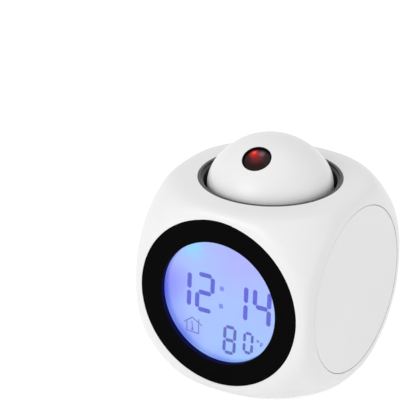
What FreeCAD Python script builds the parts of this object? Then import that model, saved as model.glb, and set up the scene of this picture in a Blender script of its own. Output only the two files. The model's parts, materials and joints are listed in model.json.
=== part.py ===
import FreeCAD, Part
import math
import os

# Projection alarm clock, in millimetres.
# The origin is on the table under the middle of the clock, +Z is up and the display faces -Y.

V = FreeCAD.Vector
UP = V(0, 0, 1)

# Body
body_half = 40.0            # half the width and the depth of the body
body_below = 40.0           # from the middle of the body down to its flat bottom
body_above = 39.25          # from the middle of the body up to its flat top
corner_sphere_r = 1.4 * body_half   # the sphere that takes the corners off the cube
edge_round = 5.5
wall = 2.4
foot_stand = 1.0            # how far the feet hold the body off the table

# Round caps that close the openings of the body
cap_r = 34.05
cap_thick = 1.4
cap_groove = 0.25           # visible gap around a cap
cap_chamfer = 0.15
ledge_width = 1.75          # seat under the rim of a cap
collar_height = 2.2
collar_thick = 1.2
lug_reach = 0.7
lug_thick = 0.9
lug_angle = 24.0
fit = 0.1                   # gap between parts that slide together once
seat_gap = 0.05             # gap of a part that is glued or clamped in its seat

# Screw ears inside the openings
ear_r = 2.8
ear_at = 30.0               # from the middle of the opening to each screw
ear_depth = 6.0
base_ear_gap = 3.1          # from the ears of the base up to the display
diagonal = 45.0             # turn of the screws and lugs that stand between the axes of a face
screw_r = 1.0
screw_head_r = 1.9
screw_head_thick = 1.1
head_round = 0.45           # fillet of a screw head, as a part of its thickness
slot_reach = 0.6            # half the length of a cross slot, as a part of the head's radius
screw_length = 6.0
board_screw_length = 5.0
screw_slot_width = 0.5
screw_slot_depth = 0.6
thread_gap = 0.03

# Display
bezel_r = 34.94
bezel_seat_gap = 0.06
window_r = 25.65            # visible radius of the display
window_depth = 2.2          # from the front of the ring back to the window
window_lip = 1.9
polariser_thick = 0.2
glass_thick = 0.7
guide_thick = 3.0
display_half = 26.5         # half the side of the square display
glass_ledge = 3.0           # bare strip of the front glass that carries its contacts
display_corner_inset = 2.5  # from the body's face in to the round that clips the display's corners
polariser_inset = 0.2
frame_wall = 1.2
contact_strip_width = 2.0
contact_strip_half = 23.0
led_size = 2.2
led_offset = 12.0
post_r = 1.6
post_x = 30.0
post_z = 8.0

# Main circuit board
board_thick = 1.6
board_half_x = 32.4
board_up = 26.0
board_down = 31.6
board_corner_r = 40.5
board_well_gap = 1.0        # least gap between the board and the well
blob_r = 5.0
blob_height = 1.5
blob_places = ((-11.0, 6.0), (12.0, 2.0))
crystal_r = 1.0
crystal_length = 6.0
crystal_foot_half = 0.7
crystal_y = -7.0
capacitor_r = 2.5
capacitor_length = 7.0
capacitor_x = 17.0
capacitor_y = -14.0
capacitor_round = 0.5

# Rear cover, keys and speaker
key_r = 3.5
key_gap = 0.15
key_pitch = 12.0
key_drop = 13.0             # from the middle of the body down to the row of keys
key_travel = 0.5
key_stand = 1.2             # how far a key stands out of the cover
key_flange_r = 4.0
key_flange_thick = 0.8
key_flange_gap = 0.1
key_stem_r = 1.6
key_stem_length = 1.5
key_round = 0.6
switch_side = 6.0
switch_height = 3.5
switch_plunger_r = 1.7
switch_plunger_out = 1.0
switch_plunger_in = 1.5
running_gap = 0.1
button_board_half_x = 22.0
button_board_half_z = 4.0
cover_post_r = 1.7
speaker_r = 14.0
speaker_rise = 11.0
speaker_rim_thick = 1.0
speaker_depth = 4.6
speaker_wall = 0.6
magnet_r = 6.5
magnet_thick = 3.0
cone_thick = 0.3
cone_depth = 2.2
speaker_collar_wall = 1.2
speaker_collar_height = 3.0
grille_hole_r = 0.9
grille_rings = 3
grille_step = 3.6
sensor_slot_length = 8.0
sensor_slot_width = 1.2
sensor_slot_pitch = 2.4
sensor_slots = 3
sensor_drop = 24.0
thermistor_r = 1.1
thermistor_lead_r = 0.25

# Base, batteries and feet
cell_r = 5.25
cell_length = 44.5
cell_cap_r = 1.9
cell_cap_length = 1.0
cell_round = 0.4
cell_pitch = 10.9
cell_count = 3
cell_gap = 0.25
contact_thick = 0.4
contact_spring_length = 5.0
contact_spring_r = 2.9
contact_wire_r = 0.35
contact_spring_turns = 4
contact_half = 3.6
contact_join_half = 1.0
contact_tab = 1.6
tray_wall = 1.2
door_thick = 1.2
door_rest = 1.0
door_gap = 0.15
door_tab_width = 6.0
door_tab_thick = 1.2
door_tab_rise = 2.4
door_tab_x = 14.0
door_tab_play = 0.3
door_leg_thick = 1.0
door_latch_rise = 2.2
door_latch_gap = 0.4
door_notch_r = 5.0
door_grip_length = 14.0
door_grip_ribs = 4
door_grip_pitch = 1.8
door_grip_depth = 0.5
foot_r = 3.5
foot_thick = 1.5
foot_x = 19.0
foot_y = 23.0
foot_round = 0.4

# Well on the top
well_rim_r = 28.76
well_rim_gap = 0.12
well_rim_proud = 0.2
well_funnel_r = 27.3
well_funnel_depth = 1.3
well_r = 26.6
well_wall = 1.2
well_floor = 18.0           # height of the floor above the middle of the body
well_floor_thick = 2.0
well_flange_r = 30.0
well_flange_drop = 10.25     # from the top of the body down to the underside of the flange
well_flange_thick = 2.0
well_ear_at = 32.6
well_ear_r = 2.8

# Press and turn mechanism, heights from the middle of the body
plunger_r = 6.0
plunger_slide_gap = 0.06
plunger_bottom = 8.0
plunger_flange_r = 14.0
plunger_flange_bottom = 26.0
plunger_flange_thick = 1.8
plunger_key_width = 2.0
plunger_key_reach = 1.0
bushing_r = 8.2
bushing_bottom = 10.5
bushing_top = 19.5
press_travel = 2.0
clip_groove_r = 4.8
clip_r = 7.6
clip_thick = 0.8
clip_mouth_half = 2.9
clip_gap = 0.05
spring_r = 10.0
spring_wire_r = 0.45
spring_turns = 4
spigot_r = 4.0
friction_washer_in = 9.0
friction_washer_out = 13.0
friction_washer_thick = 0.5
turn_gap = 0.05
stop_groove_r = 6.8
stop_groove_width = 1.9
stop_groove_depth = 1.1
stop_pin_r = 0.8
stop_pin_gap = 0.1
turn_each_way = 90.0
swivel_washer_r = 7.0
swivel_washer_thick = 0.6
swivel_screw_head_r = 3.0
swivel_screw_head_thick = 1.6
swivel_screw_r = 1.4
swivel_screw_length = 9.0

# Snooze switch
snooze_gap = 0.1
snooze_board_half_x = 13.5
snooze_board_half_y = 5.0
snooze_post_x = 11.0
snooze_post_r = 2.0

# Dome and projector, heights from the middle of the body
dome_crown_r = 27.0
dome_crown_height = 29.54   # height of the middle of the crown's sphere
dome_crown_angle = 56.8     # polar angle where the crown meets the side
dome_side_r = 15.58
dome_wall = 1.6
dome_turn = 5.6             # the dome's turn towards +X, as it stands in rest
turntable_thick = 1.6
turntable_gap = 0.1
dome_boss_r = 2.6
dome_boss_at = 19.0
lens_tilt = 31.0            # angle of the lens axis from the vertical
lens_hole_r = 5.95
barrel_nose_r = 5.9
barrel_r = 8.2
barrel_length = 18.0
barrel_rim = 0.4
barrel_recess = 0.35
lens_thick = 2.6
lens_bulge = 0.8
barrel_bore_r = 4.6
condenser_thick = 2.0
condenser_depth = 12.4
slide_half = 3.2
slide_thick = 1.4
slide_depth = 10.0
led_r = 2.4
led_length = 3.2
led_round = 1.2
led_board_thick = 1.2
led_board_r = 7.0

# Leads
lead_r = 0.5
lead_bend = 4.0
lead_rise = 2.0
key_lead_count = 5
key_lead_pitch = 1.5
key_lead_straight = 6.0
key_lead_slope = 18.0
key_lead_sag = 8.0
key_lead_end_drop = 3.0

# Places worked out from the sizes above
mid = foot_stand + body_below
top = mid + body_above
base_ear_depth = body_below - cap_thick - display_half - glass_ledge - base_ear_gap
well_flange_height = body_above - well_flange_drop
recess_r = cap_r + cap_groove
hole_r = recess_r - ledge_width
bezel_recess_r = bezel_r + bezel_seat_gap
bezel_hole_r = bezel_recess_r - ledge_width
display_corner_r = body_half - display_corner_inset
display_at = wall + fit + lug_thick
front_glass_at = display_at + polariser_thick
rear_glass_at = front_glass_at + glass_thick
rear_polariser_at = rear_glass_at + glass_thick
guide_at = rear_polariser_at + polariser_thick
board_at = guide_at + guide_thick
board_back = board_at + board_thick
flange_top = plunger_flange_bottom + plunger_flange_thick
turntable_bottom = flange_top + friction_washer_thick + turn_gap
turntable_top = turntable_bottom + turntable_thick
spigot_end = turntable_top + turn_gap
key_switch_tip = cap_thick + key_flange_gap + key_flange_thick + key_stem_length
key_switch_top = key_switch_tip + switch_plunger_out
button_board_face = key_switch_top + switch_height
tray_half_y = cell_count * cell_pitch / 2.0 + fit
tray_half_x = (cell_length + contact_spring_length + 2 * contact_thick) / 2.0 + seat_gap
cell_axis = cap_thick + cell_gap + cell_r
tray_roof = cell_axis + cell_r + cell_gap
door_half_x = tray_half_x + door_rest - door_gap
door_half_y = tray_half_y + door_rest - door_gap
clip_top = bushing_bottom - clip_gap
snooze_tip = plunger_bottom - press_travel - snooze_gap
snooze_body_top = snooze_tip - switch_plunger_out
snooze_board_top = snooze_body_top - switch_height
dome_side_centre_r = (dome_crown_r - dome_side_r) * math.sin(math.radians(dome_crown_angle))
dome_side_centre_z = dome_crown_height + (dome_crown_r - dome_side_r) * math.cos(
    math.radians(dome_crown_angle))
dome_r = dome_side_centre_r + dome_side_r
well_bore_r = plunger_r + plunger_slide_gap
thread_r = screw_r + thread_gap
pass_r = screw_r + fit
swivel_hole_r = swivel_screw_r + thread_gap


def cylinder(radius, low, high, x=0.0, y=0.0):
    """Upright cylinder from the height low to the height high."""
    return Part.makeCylinder(radius, high - low, V(x, y, low), UP)


def tube(outer, bore, low, high, x=0.0, y=0.0):
    return cylinder(outer, low, high, x, y).cut(cylinder(bore, low - 1, high + 1, x, y))


def block(x0, x1, y0, y1, z0, z1):
    return Part.makeBox(x1 - x0, y1 - y0, z1 - z0, V(x0, y0, z0))


def revolve(edges):
    """Solid of revolution of a closed outline in the XZ plane about the Z axis."""
    return Part.Face(Part.Wire(edges)).revolve(V(0, 0, 0), UP, 360)


def polygon(points):
    return Part.makePolygon([V(*p) for p in points] + [V(*points[0])])


def spun(points):
    """Solid of revolution of straight lines through (radius, height) points."""
    outline = polygon([(r, 0, z) for r, z in points])
    return Part.Face(outline).revolve(V(0, 0, 0), UP, 360)


def sector(outer, bore, low, high, start, sweep):
    """Part of a ring, from the angle start over the angle sweep."""
    ring = Part.makeCylinder(outer, high - low, V(0, 0, low), UP, sweep)
    ring = ring.cut(cylinder(bore, low - 1, high + 1))
    ring.rotate(V(0, 0, 0), UP, start)
    return ring


def joined(shapes):
    whole = shapes[0]
    for shape in shapes[1:]:
        whole = whole.fuse(shape)
    return whole.removeSplitter()


def turned(shape, angle, axis=UP, about=V(0, 0, 0)):
    copy = shape.copy()
    copy.rotate(about, axis, angle)
    return copy


def moved(shape, x, y, z):
    copy = shape.copy()
    copy.translate(V(x, y, z))
    return copy


def around(shape, count, start=0.0):
    return [turned(shape, start + 360.0 * i / count) for i in range(count)]


# A face of the body has its own frame: x and y in the face and z outwards from it.
def place(shape, across, up, outwards, origin):
    frame = FreeCAD.Matrix(
        across.x, up.x, outwards.x, origin.x,
        across.y, up.y, outwards.y, origin.y,
        across.z, up.z, outwards.z, origin.z,
        0, 0, 0, 1)
    return shape.transformed(frame)


def on_front(shape):
    return place(shape, V(1, 0, 0), V(0, 0, 1), V(0, -1, 0), V(0, -body_half, mid))


def on_rear(shape):
    return place(shape, V(-1, 0, 0), V(0, 0, 1), V(0, 1, 0), V(0, body_half, mid))


def on_right(shape):
    return place(shape, V(0, 1, 0), V(0, 0, 1), V(1, 0, 0), V(body_half, 0, mid))


def on_left(shape):
    return place(shape, V(0, -1, 0), V(0, 0, 1), V(-1, 0, 0), V(-body_half, 0, mid))


def on_base(shape):
    return place(shape, V(1, 0, 0), V(0, -1, 0), V(0, 0, -1), V(0, 0, foot_stand))


def on_top(shape):
    return moved(shape, 0, 0, top)


def from_middle(shape):
    return moved(shape, 0, 0, mid)


def on_lens(shape):
    """Place a shape drawn about the lens axis, with z counted from the middle of the crown's sphere."""
    turn = math.radians(dome_turn)
    tilt = math.radians(lens_tilt)
    outwards = V(math.sin(tilt) * math.sin(turn), -math.sin(tilt) * math.cos(turn), math.cos(tilt))
    across = V(math.cos(turn), math.sin(turn), 0)
    return place(shape, across, outwards.cross(across), outwards, V(0, 0, mid + dome_crown_height))


# Shared small parts
def flat_screw(length):
    """Countersunk screw: its head is flush at z = 0 and its shank points down."""
    low = -seat_gap - screw_head_thick
    head = spun([(0, -seat_gap), (screw_head_r, -seat_gap), (screw_r, low), (0, low)])
    screw = head.fuse(cylinder(screw_r, -length, low)).removeSplitter()
    return screw.cut(cross_slot(-seat_gap))


def pan_screw(length):
    """Pan-head screw: its head stands on z = 0 and its shank points down."""
    head = cylinder(screw_head_r, 0, screw_head_thick)
    head = head.makeFillet(screw_head_thick * head_round, rims_at(head, screw_head_thick))
    screw = head.fuse(cylinder(screw_r, -length, 0)).removeSplitter()
    return screw.cut(cross_slot(screw_head_thick))


def cross_slot(face):
    half = screw_head_r * slot_reach
    slot = block(-half, half, -screw_slot_width / 2, screw_slot_width / 2, face - screw_slot_depth, face + 1)
    return slot.fuse(turned(slot, 90))


def flat_screw_hole():
    low = -seat_gap - screw_head_thick
    cone = spun([(0, 1), (screw_head_r + seat_gap, 1), (screw_head_r + seat_gap, -seat_gap),
                 (pass_r, low), (0, low)])
    return cone.fuse(cylinder(pass_r, -cap_thick - 1, 0))


def rims_at(shape, height):
    """Edges that lie wholly at one height."""
    box_of = [(edge, edge.BoundBox) for edge in shape.Edges]
    return [edge for edge, box in box_of if abs(box.ZMin - height) < 1e-3 and abs(box.ZMax - height) < 1e-3]


def coil(radius, wire_r, low, high, turns):
    """Spring of round wire between two heights, as a helix about the Z axis."""
    rise = high - low - 2 * wire_r
    path = Part.makeLongHelix(rise / turns, rise, radius)
    ring = Part.Wire(Part.makeCircle(wire_r, V(radius, 0, 0), V(0, 1, 0)))
    return moved(Part.Wire(path.Edges).makePipeShell([ring], True, True), 0, 0, low + wire_r)


def lead(points):
    """Insulated wire along straight runs joined by tangent arcs."""
    corners = [V(*p) for p in points]
    edges = []
    start = corners[0]
    for before, corner, after in zip(corners, corners[1:], corners[2:]):
        back = (before - corner).normalize()
        ahead = (after - corner).normalize()
        half = back.getAngle(ahead) / 2
        cut = min(lead_bend / math.tan(half), 0.45 * (before - corner).Length, 0.45 * (after - corner).Length)
        radius = cut * math.tan(half)
        inward = (back + ahead).normalize()
        first = corner + back * cut
        last = corner + ahead * cut
        nearest = corner + inward * (cut / math.cos(half) - radius)
        edges.append(Part.makeLine(start, first))
        edges.append(Part.Arc(first, nearest, last).toShape())
        start = last
    edges.append(Part.makeLine(start, corners[-1]))
    path = Part.Wire(edges)
    heading = corners[1] - corners[0]
    ring = Part.Wire(Part.makeCircle(lead_r, corners[0], heading))
    return path.makePipeShell([ring], True, True)


# Shell
def rounded_body(inset):
    """The body's form: a cube with its corners on a sphere and every edge rounded."""
    half = body_half - edge_round
    core = block(-half, half, -half, half, mid - body_below + edge_round, mid + body_above - edge_round)
    core = core.common(Part.makeSphere(corner_sphere_r - edge_round, V(0, 0, mid)))
    return core.Solids[0].makeOffsetShape(edge_round - inset, 0.001, join=0)


def opening(rim_r, bore_r):
    """Cutter for a round opening with a seat for its cap, drawn at a face."""
    seat = cylinder(rim_r, -cap_thick, 1)
    bevel = spun([(0, -cap_chamfer), (rim_r, -cap_chamfer), (rim_r + cap_chamfer + 1, 1), (0, 1)])
    return joined([seat, bevel, cylinder(bore_r, -2 * wall, 1)])


def screw_ear(depth):
    """Lug inside an opening that a screw bites into, on the +X side of the opening."""
    low = -cap_thick - depth
    lug = cylinder(ear_r, low, -cap_thick, x=ear_at)
    root = block(ear_at, recess_r + collar_thick, -ear_r, ear_r, low, -cap_thick)
    hole = cylinder(thread_r, low - 1, 1, x=ear_at)
    return lug.fuse(root).removeSplitter().cut(hole)


def main_shell():
    shell = rounded_body(0).cut(rounded_body(wall))
    side_opening = opening(recess_r, hole_r)
    for place_on in (on_right, on_left, on_rear, on_base):
        shell = shell.cut(place_on(side_opening))
    front = cylinder(bezel_recess_r, -cap_thick, 1).fuse(cylinder(bezel_hole_r, -2 * wall, 1))
    shell = shell.cut(on_front(front))
    shell = shell.cut(on_top(cylinder(well_rim_r + well_rim_gap, -2 * wall, 1)))
    shell = joined([shell] + [on_rear(ear) for ear in around(screw_ear(ear_depth), 4, diagonal)]
                   + [on_base(ear) for ear in around(screw_ear(base_ear_depth), 4)])
    flange_face = well_flange_height + well_flange_thick
    boss = cylinder(well_ear_r, flange_face, body_above - wall / 2, x=well_ear_at)
    boss = boss.cut(cylinder(thread_r, flange_face - 1, flange_face + board_screw_length, x=well_ear_at))
    return joined([shell] + [from_middle(b) for b in around(boss, 4, diagonal)])


# Caps
def cap_disc():
    low = -cap_thick
    return spun([(0, low), (cap_r, low), (cap_r, -cap_chamfer), (cap_r - cap_chamfer, 0), (0, 0)])


def snap_collar(outer, height):
    """Collar behind a cap with four snap lugs that catch behind the shell's wall."""
    ring = tube(outer, outer - collar_thick, -height, -cap_thick)
    lug_top = -wall - fit
    lug = sector(outer + lug_reach, outer - collar_thick, lug_top - lug_thick, lug_top,
                 -lug_angle / 2, lug_angle)
    return [ring] + around(lug, 4, diagonal)


def side_cap():
    return joined([cap_disc()] + snap_collar(hole_r - fit, cap_thick + collar_height))


# Front display
def bezel_ring():
    outer = bezel_hole_r - fit
    flange = cylinder(bezel_r, -cap_thick, 0)
    ring = joined([flange, cylinder(outer, -display_at, -cap_thick)] + snap_collar(outer, display_at))
    ring = ring.cut(cylinder(window_r, -wall * 4, 1))
    ring = ring.cut(cylinder(window_r + window_lip, -wall * 4, -window_depth))
    posts = [cylinder(post_r, -board_at, -display_at, x=x, y=y).cut(
        cylinder(thread_r, -board_at - 1, -display_at - 1, x=x, y=y)) for x, y in post_places()]
    return joined([ring] + posts)


def post_places():
    return [(x, y) for x in (-post_x, post_x) for y in (-post_z, post_z)]


def front_window():
    return cylinder(window_r + window_lip - seat_gap, -display_at, -window_depth)


def display_sheet(half, extra, corner_r, low, high):
    """Square sheet of the display with clipped corners, longer by extra at its lower edge."""
    sheet = block(-half, half, -half - extra, half, -high, -low)
    return sheet.common(cylinder(corner_r, -high - 1, -low + 1))


def polarisers():
    """The two polarising films, one before and one behind the glass."""
    half = display_half - polariser_inset
    corner_r = display_corner_r - polariser_inset
    return Part.makeCompound([display_sheet(half, 0, corner_r, low, low + polariser_thick)
                              for low in (display_at, rear_polariser_at)])


def lcd_front_glass():
    return display_sheet(display_half, glass_ledge, display_corner_r, front_glass_at, rear_glass_at)


def lcd_rear_glass():
    return display_sheet(display_half, 0, display_corner_r, rear_glass_at, rear_polariser_at)


def light_guide():
    guide = display_sheet(display_half - polariser_inset, 0, display_corner_r - polariser_inset,
                          guide_at, board_at)
    edge = -display_half
    for y in (-led_offset, led_offset):
        half = led_size / 2 + fit
        guide = guide.cut(block(edge, edge + led_size + 2 * fit + polariser_inset, y - half, y + half,
                                -board_at - 1, -guide_at + 1))
    return guide


def backlight_leds():
    left = -display_half + polariser_inset
    return Part.makeCompound([
        block(left, left + led_size, y - led_size / 2, y + led_size / 2, -board_at, -guide_at - fit)
        for y in (-led_offset, led_offset)])


def lcd_frame():
    outer = display_sheet(display_half + fit + frame_wall, glass_ledge, display_corner_r + fit + frame_wall,
                          display_at, board_at)
    inside = display_sheet(display_half + fit, glass_ledge, display_corner_r + fit,
                           display_at - 1, board_at + 1)
    return outer.cut(inside)


def contact_strip():
    centre = -display_half - glass_ledge / 2
    half = contact_strip_width / 2
    return block(-contact_strip_half, contact_strip_half, centre - half, centre + half,
                 -board_at, -rear_glass_at)


# Main board
def main_board():
    board = block(-board_half_x, board_half_x, -board_down, board_up, -board_back, -board_at)
    board = board.common(cylinder(board_corner_r, -board_back - 1, -board_at + 1))
    for x, y in post_places():
        board = board.cut(cylinder(pass_r, -board_back - 1, 0, x=x, y=y))
    well_low = well_floor - well_floor_thick - board_well_gap
    well_way = Part.makeCylinder(well_r + well_wall + board_well_gap, body_above, V(0, well_low, -body_half),
                                 V(0, 1, 0))
    return board.cut(well_way)


def chip_blobs():
    ball_r = (blob_r ** 2 + blob_height ** 2) / (2 * blob_height)
    ball = Part.makeSphere(ball_r, V(0, 0, ball_r - blob_height))
    drop = ball.common(block(-ball_r, ball_r, -ball_r, ball_r, -blob_height, 0))
    return Part.makeCompound([moved(drop, x, y, -board_back) for x, y in blob_places])


def quartz_crystal():
    can = Part.makeCylinder(crystal_r, crystal_length, V(-crystal_length / 2, 0, 0), V(1, 0, 0))
    half = crystal_length / 2
    foot = block(-half, half, -crystal_foot_half, crystal_foot_half, 0, crystal_r)
    return moved(can.fuse(foot).removeSplitter(), 0, crystal_y, -board_back - crystal_r)


def capacitors():
    can = cylinder(capacitor_r, -capacitor_length, 0)
    can = can.makeFillet(capacitor_round, rims_at(can, -capacitor_length))
    return Part.makeCompound([moved(can, x, capacitor_y, -board_back) for x in (-capacitor_x, capacitor_x)])


# Rear cover with its keys and speaker
def key_places():
    return [((i - 1.5) * key_pitch, -key_drop) for i in range(4)]


def cover_post_places():
    return [(-key_pitch, -key_drop), (key_pitch, -key_drop)]


def rear_cover():
    cover = cap_disc()
    for x, y in key_places():
        cover = cover.cut(cylinder(key_r + key_gap, -cap_thick - 1, 1, x=x, y=y))
    for hole in around(moved(flat_screw_hole(), ear_at, 0, 0), 4, diagonal):
        cover = cover.cut(hole)
    for ring in range(grille_rings + 1):
        hole = cylinder(grille_hole_r, -cap_thick - 1, 1, x=ring * grille_step)
        for copy in around(hole, max(1, 6 * ring)):
            cover = cover.cut(moved(copy, 0, speaker_rise, 0))
    for i in range(sensor_slots):
        y = -sensor_drop - (i - (sensor_slots - 1) / 2) * sensor_slot_pitch
        cover = cover.cut(slot(sensor_slot_length, sensor_slot_width, y))
    collar_low = -cap_thick - speaker_collar_height
    bore_r = speaker_r + fit
    collar = tube(bore_r + speaker_collar_wall, bore_r, collar_low, -cap_thick, y=speaker_rise)
    posts = [cylinder(cover_post_r, -button_board_face, -cap_thick, x=x, y=y).cut(
        cylinder(thread_r, -button_board_face - 1, -cap_thick - 1, x=x, y=y))
        for x, y in cover_post_places()]
    return joined([cover, collar] + posts)


def slot(length, width, y):
    half = (length - width) / 2
    bar = block(-half, half, y - width / 2, y + width / 2, -cap_thick - 1, 1)
    ends = [cylinder(width / 2, -cap_thick - 1, 1, x=x, y=y) for x in (-half, half)]
    return joined([bar] + ends)


def key(x, y):
    """Key cap with its flange behind the cover and its stem on the switch."""
    flange_high = -cap_thick - key_flange_gap
    flange_low = flange_high - key_flange_thick
    cap = cylinder(key_r, flange_low, key_stand)
    cap = cap.makeFillet(key_round, rims_at(cap, key_stand))
    stem = cylinder(key_stem_r, -key_switch_tip, flange_low)
    return moved(joined([cap, cylinder(key_flange_r, flange_low, flange_high), stem]), x, y, 0)


def key_plunger(x, y):
    return cylinder(switch_plunger_r, -key_switch_top - switch_plunger_in, -key_switch_tip, x=x, y=y)


def tact_switches():
    half = switch_side / 2
    depth = switch_plunger_in + key_travel + running_gap
    body = block(-half, half, -half, half, -button_board_face, -key_switch_top)
    body = body.cut(cylinder(switch_plunger_r + running_gap, -key_switch_top - depth, 0))
    return Part.makeCompound([moved(body, x, y, 0) for x, y in key_places()])


def button_board():
    board = block(-button_board_half_x, button_board_half_x, -key_drop - button_board_half_z,
                  -key_drop + button_board_half_z, -button_board_face - board_thick, -button_board_face)
    for x, y in cover_post_places():
        board = board.cut(cylinder(pass_r, -button_board_face - board_thick - 1, 0, x=x, y=y))
    return board


def thermistor():
    z = -button_board_face - board_thick / 2
    edge = -key_drop - button_board_half_z
    bead_y = edge - (sensor_drop - key_drop - button_board_half_z)
    bead = Part.makeSphere(thermistor_r, V(0, bead_y, z))
    legs = [Part.makeCylinder(thermistor_lead_r, edge - bead_y, V(x, bead_y, z), V(0, 1, 0))
            for x in (-thermistor_r / 2, thermistor_r / 2)]
    return joined([bead] + legs)


def speaker_basket():
    front = -cap_thick
    rim = front - speaker_rim_thick
    back = front - speaker_depth
    neck = magnet_r + speaker_wall
    return moved(spun([
        (speaker_r, front), (speaker_r, rim), (neck, back), (0, back), (0, back + speaker_wall),
        (neck - speaker_wall, back + speaker_wall), (speaker_r - speaker_wall * 2, rim),
        (speaker_r - speaker_wall * 2, front)]), 0, speaker_rise, 0)


def speaker_magnet():
    back = -cap_thick - speaker_depth
    magnet = cylinder(magnet_r, back - magnet_thick, back)
    return moved(magnet, 0, speaker_rise, 0)


def speaker_cone():
    edge = -cap_thick - speaker_rim_thick / 2
    edge_r = speaker_r - 2 * speaker_wall - seat_gap
    coil_r = magnet_r / 2
    low = edge - cone_depth
    floor = -cap_thick - speaker_depth + speaker_wall
    return moved(spun([
        (edge_r, edge), (coil_r, low), (0, low + cone_thick), (0, low),
        (coil_r - cone_thick, low - cone_thick), (coil_r - cone_thick, floor), (coil_r, floor),
        (coil_r, low - cone_thick), (edge_r, edge - cone_thick)]), 0, speaker_rise, 0)


# Base, battery tray and feet
def foot_places():
    return [(x, y) for x in (-foot_x, foot_x) for y in (-foot_y, foot_y)]


def tab_slots():
    """Slots in the front wall of the tray for the tabs of the door."""
    low = -door_thick - door_tab_rise
    half = door_tab_width / 2 + door_tab_play
    return [block(x - half, x + half, tray_half_y - 1, tray_half_y + tray_wall + 1,
                  low - 2 * fit, low + door_tab_thick + door_tab_play) for x in (-door_tab_x, door_tab_x)]


def base_plate():
    roof = -tray_roof - tray_wall
    tray = block(-tray_half_x - tray_wall, tray_half_x + tray_wall,
                 -tray_half_y - tray_wall, tray_half_y + tray_wall, roof, -cap_thick)
    base = joined([cap_disc(), tray])
    base = base.cut(block(-tray_half_x, tray_half_x, -tray_half_y, tray_half_y, -tray_roof, 1))
    half_x = tray_half_x + door_rest
    half_y = tray_half_y + door_rest
    base = base.cut(block(-half_x, half_x, -half_y, half_y, -door_thick, 1))
    notch = cylinder(door_notch_r, -door_thick, 1, y=-half_y)
    base = base.cut(notch)
    for cutter in tab_slots():
        base = base.cut(cutter)
    for hole in around(moved(flat_screw_hole(), ear_at, 0, 0), 4):
        base = base.cut(hole)
    for x, y in foot_places():
        base = base.cut(cylinder(foot_r + fit, foot_stand - foot_thick, 1, x=x, y=y))
    for x, y in contact_tab_places():
        half = contact_half / 2 + fit
        base = base.cut(block(x - contact_thick / 2 - fit, x + contact_thick / 2 + fit, y - half, y + half,
                              roof - 1, -tray_roof + 1))
    return base


def battery_door():
    """Door hooked under the front wall of the tray and held by a latch at the rear."""
    low = -door_thick
    door = block(-door_half_x, door_half_x, -door_half_y, door_half_y, low + seat_gap, 0)
    inner_front = tray_half_y - fit - seat_gap
    tip = tray_half_y + tray_wall - fit
    rise = low - door_tab_rise
    pieces = [door]
    for x in (-door_tab_x, door_tab_x):
        left = x - door_tab_width / 2
        right = x + door_tab_width / 2
        pieces.append(block(left, right, inner_front - door_leg_thick, inner_front, rise, low + seat_gap))
        pieces.append(block(left, right, inner_front - door_leg_thick, tip, rise, rise + door_tab_thick))
    back = -tray_half_y + door_latch_gap
    pieces.append(block(-door_tab_width, door_tab_width, back, back + door_leg_thick,
                        low - door_latch_rise, low + seat_gap))
    door = joined(pieces)
    for i in range(door_grip_ribs):
        y = -door_half_y + (i + 2) * door_grip_pitch
        door = door.cut(block(-door_grip_length / 2, door_grip_length / 2, y, y + door_grip_pitch / 2,
                              -door_grip_depth, 1))
    return door


def rubber_feet():
    foot = cylinder(foot_r, foot_stand - foot_thick, foot_stand)
    foot = foot.makeFillet(foot_round, rims_at(foot, foot_stand))
    return Part.makeCompound([moved(foot, x, y, 0) for x, y in foot_places()])


def cell_y(i):
    return (i - (cell_count - 1) / 2) * cell_pitch


def cell(i):
    """Cell in its row of the tray; neighbours lie head to tail."""
    body = cylinder(cell_r, 0, cell_length - cell_cap_length)
    body = body.makeFillet(cell_round, rims_at(body, 0) + rims_at(body, cell_length - cell_cap_length))
    whole = body.fuse(cylinder(cell_cap_r, cell_length - cell_cap_length, cell_length)).removeSplitter()
    whole = moved(whole, 0, 0, -cell_length / 2)
    whole = turned(whole, 90, axis=V(0, 1, 0))
    way = cell_way(i)
    if way < 0:
        whole = turned(whole, 180)
    shift = way * (tray_half_x - contact_thick - cell_length / 2 - seat_gap / 2)
    return moved(whole, shift, cell_y(i), -cell_axis)


def cell_way(i):
    return 1 if i % 2 == 0 else -1


def contact_tab_places():
    """Places of the solder tabs that pass through the roof of the tray."""
    x = tray_half_x - contact_thick / 2
    return [(x, cell_y(0)), (x * cell_way(cell_count), cell_y(cell_count - 1))]


def contact_plates():
    plates = []
    for side in (1, -1):
        x0 = side * tray_half_x
        x1 = side * (tray_half_x - contact_thick)
        low, high = min(x0, x1), max(x0, x1)
        for i in range(cell_count):
            y = cell_y(i)
            plates.append(block(low, high, y - contact_half, y + contact_half,
                                -cell_axis - contact_half, -cell_axis + contact_half))
        joins = [(i, i + 1) for i in range(cell_count - 1) if (i % 2 == 0) == (side < 0)]
        for first, last in joins:
            plates.append(block(low, high, cell_y(first), cell_y(last),
                                -cell_axis - contact_join_half, -cell_axis + contact_join_half))
    for x, y in contact_tab_places():
        half = contact_half / 2
        plates.append(block(x - contact_thick / 2, x + contact_thick / 2, y - half, y + half,
                            -tray_roof - tray_wall - contact_tab, -cell_axis))
    return joined(plates)


def contact_springs():
    springs = []
    for i in range(cell_count):
        spring = coil(contact_spring_r, contact_wire_r, 0, contact_spring_length, contact_spring_turns)
        spring = turned(spring, 90, axis=V(0, 1, 0))
        if cell_way(i) < 0:
            spring = turned(spring, 180)
        start = -cell_way(i) * (tray_half_x - contact_thick)
        springs.append(moved(spring, start, cell_y(i), -cell_axis))
    return Part.makeCompound(springs)


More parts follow.
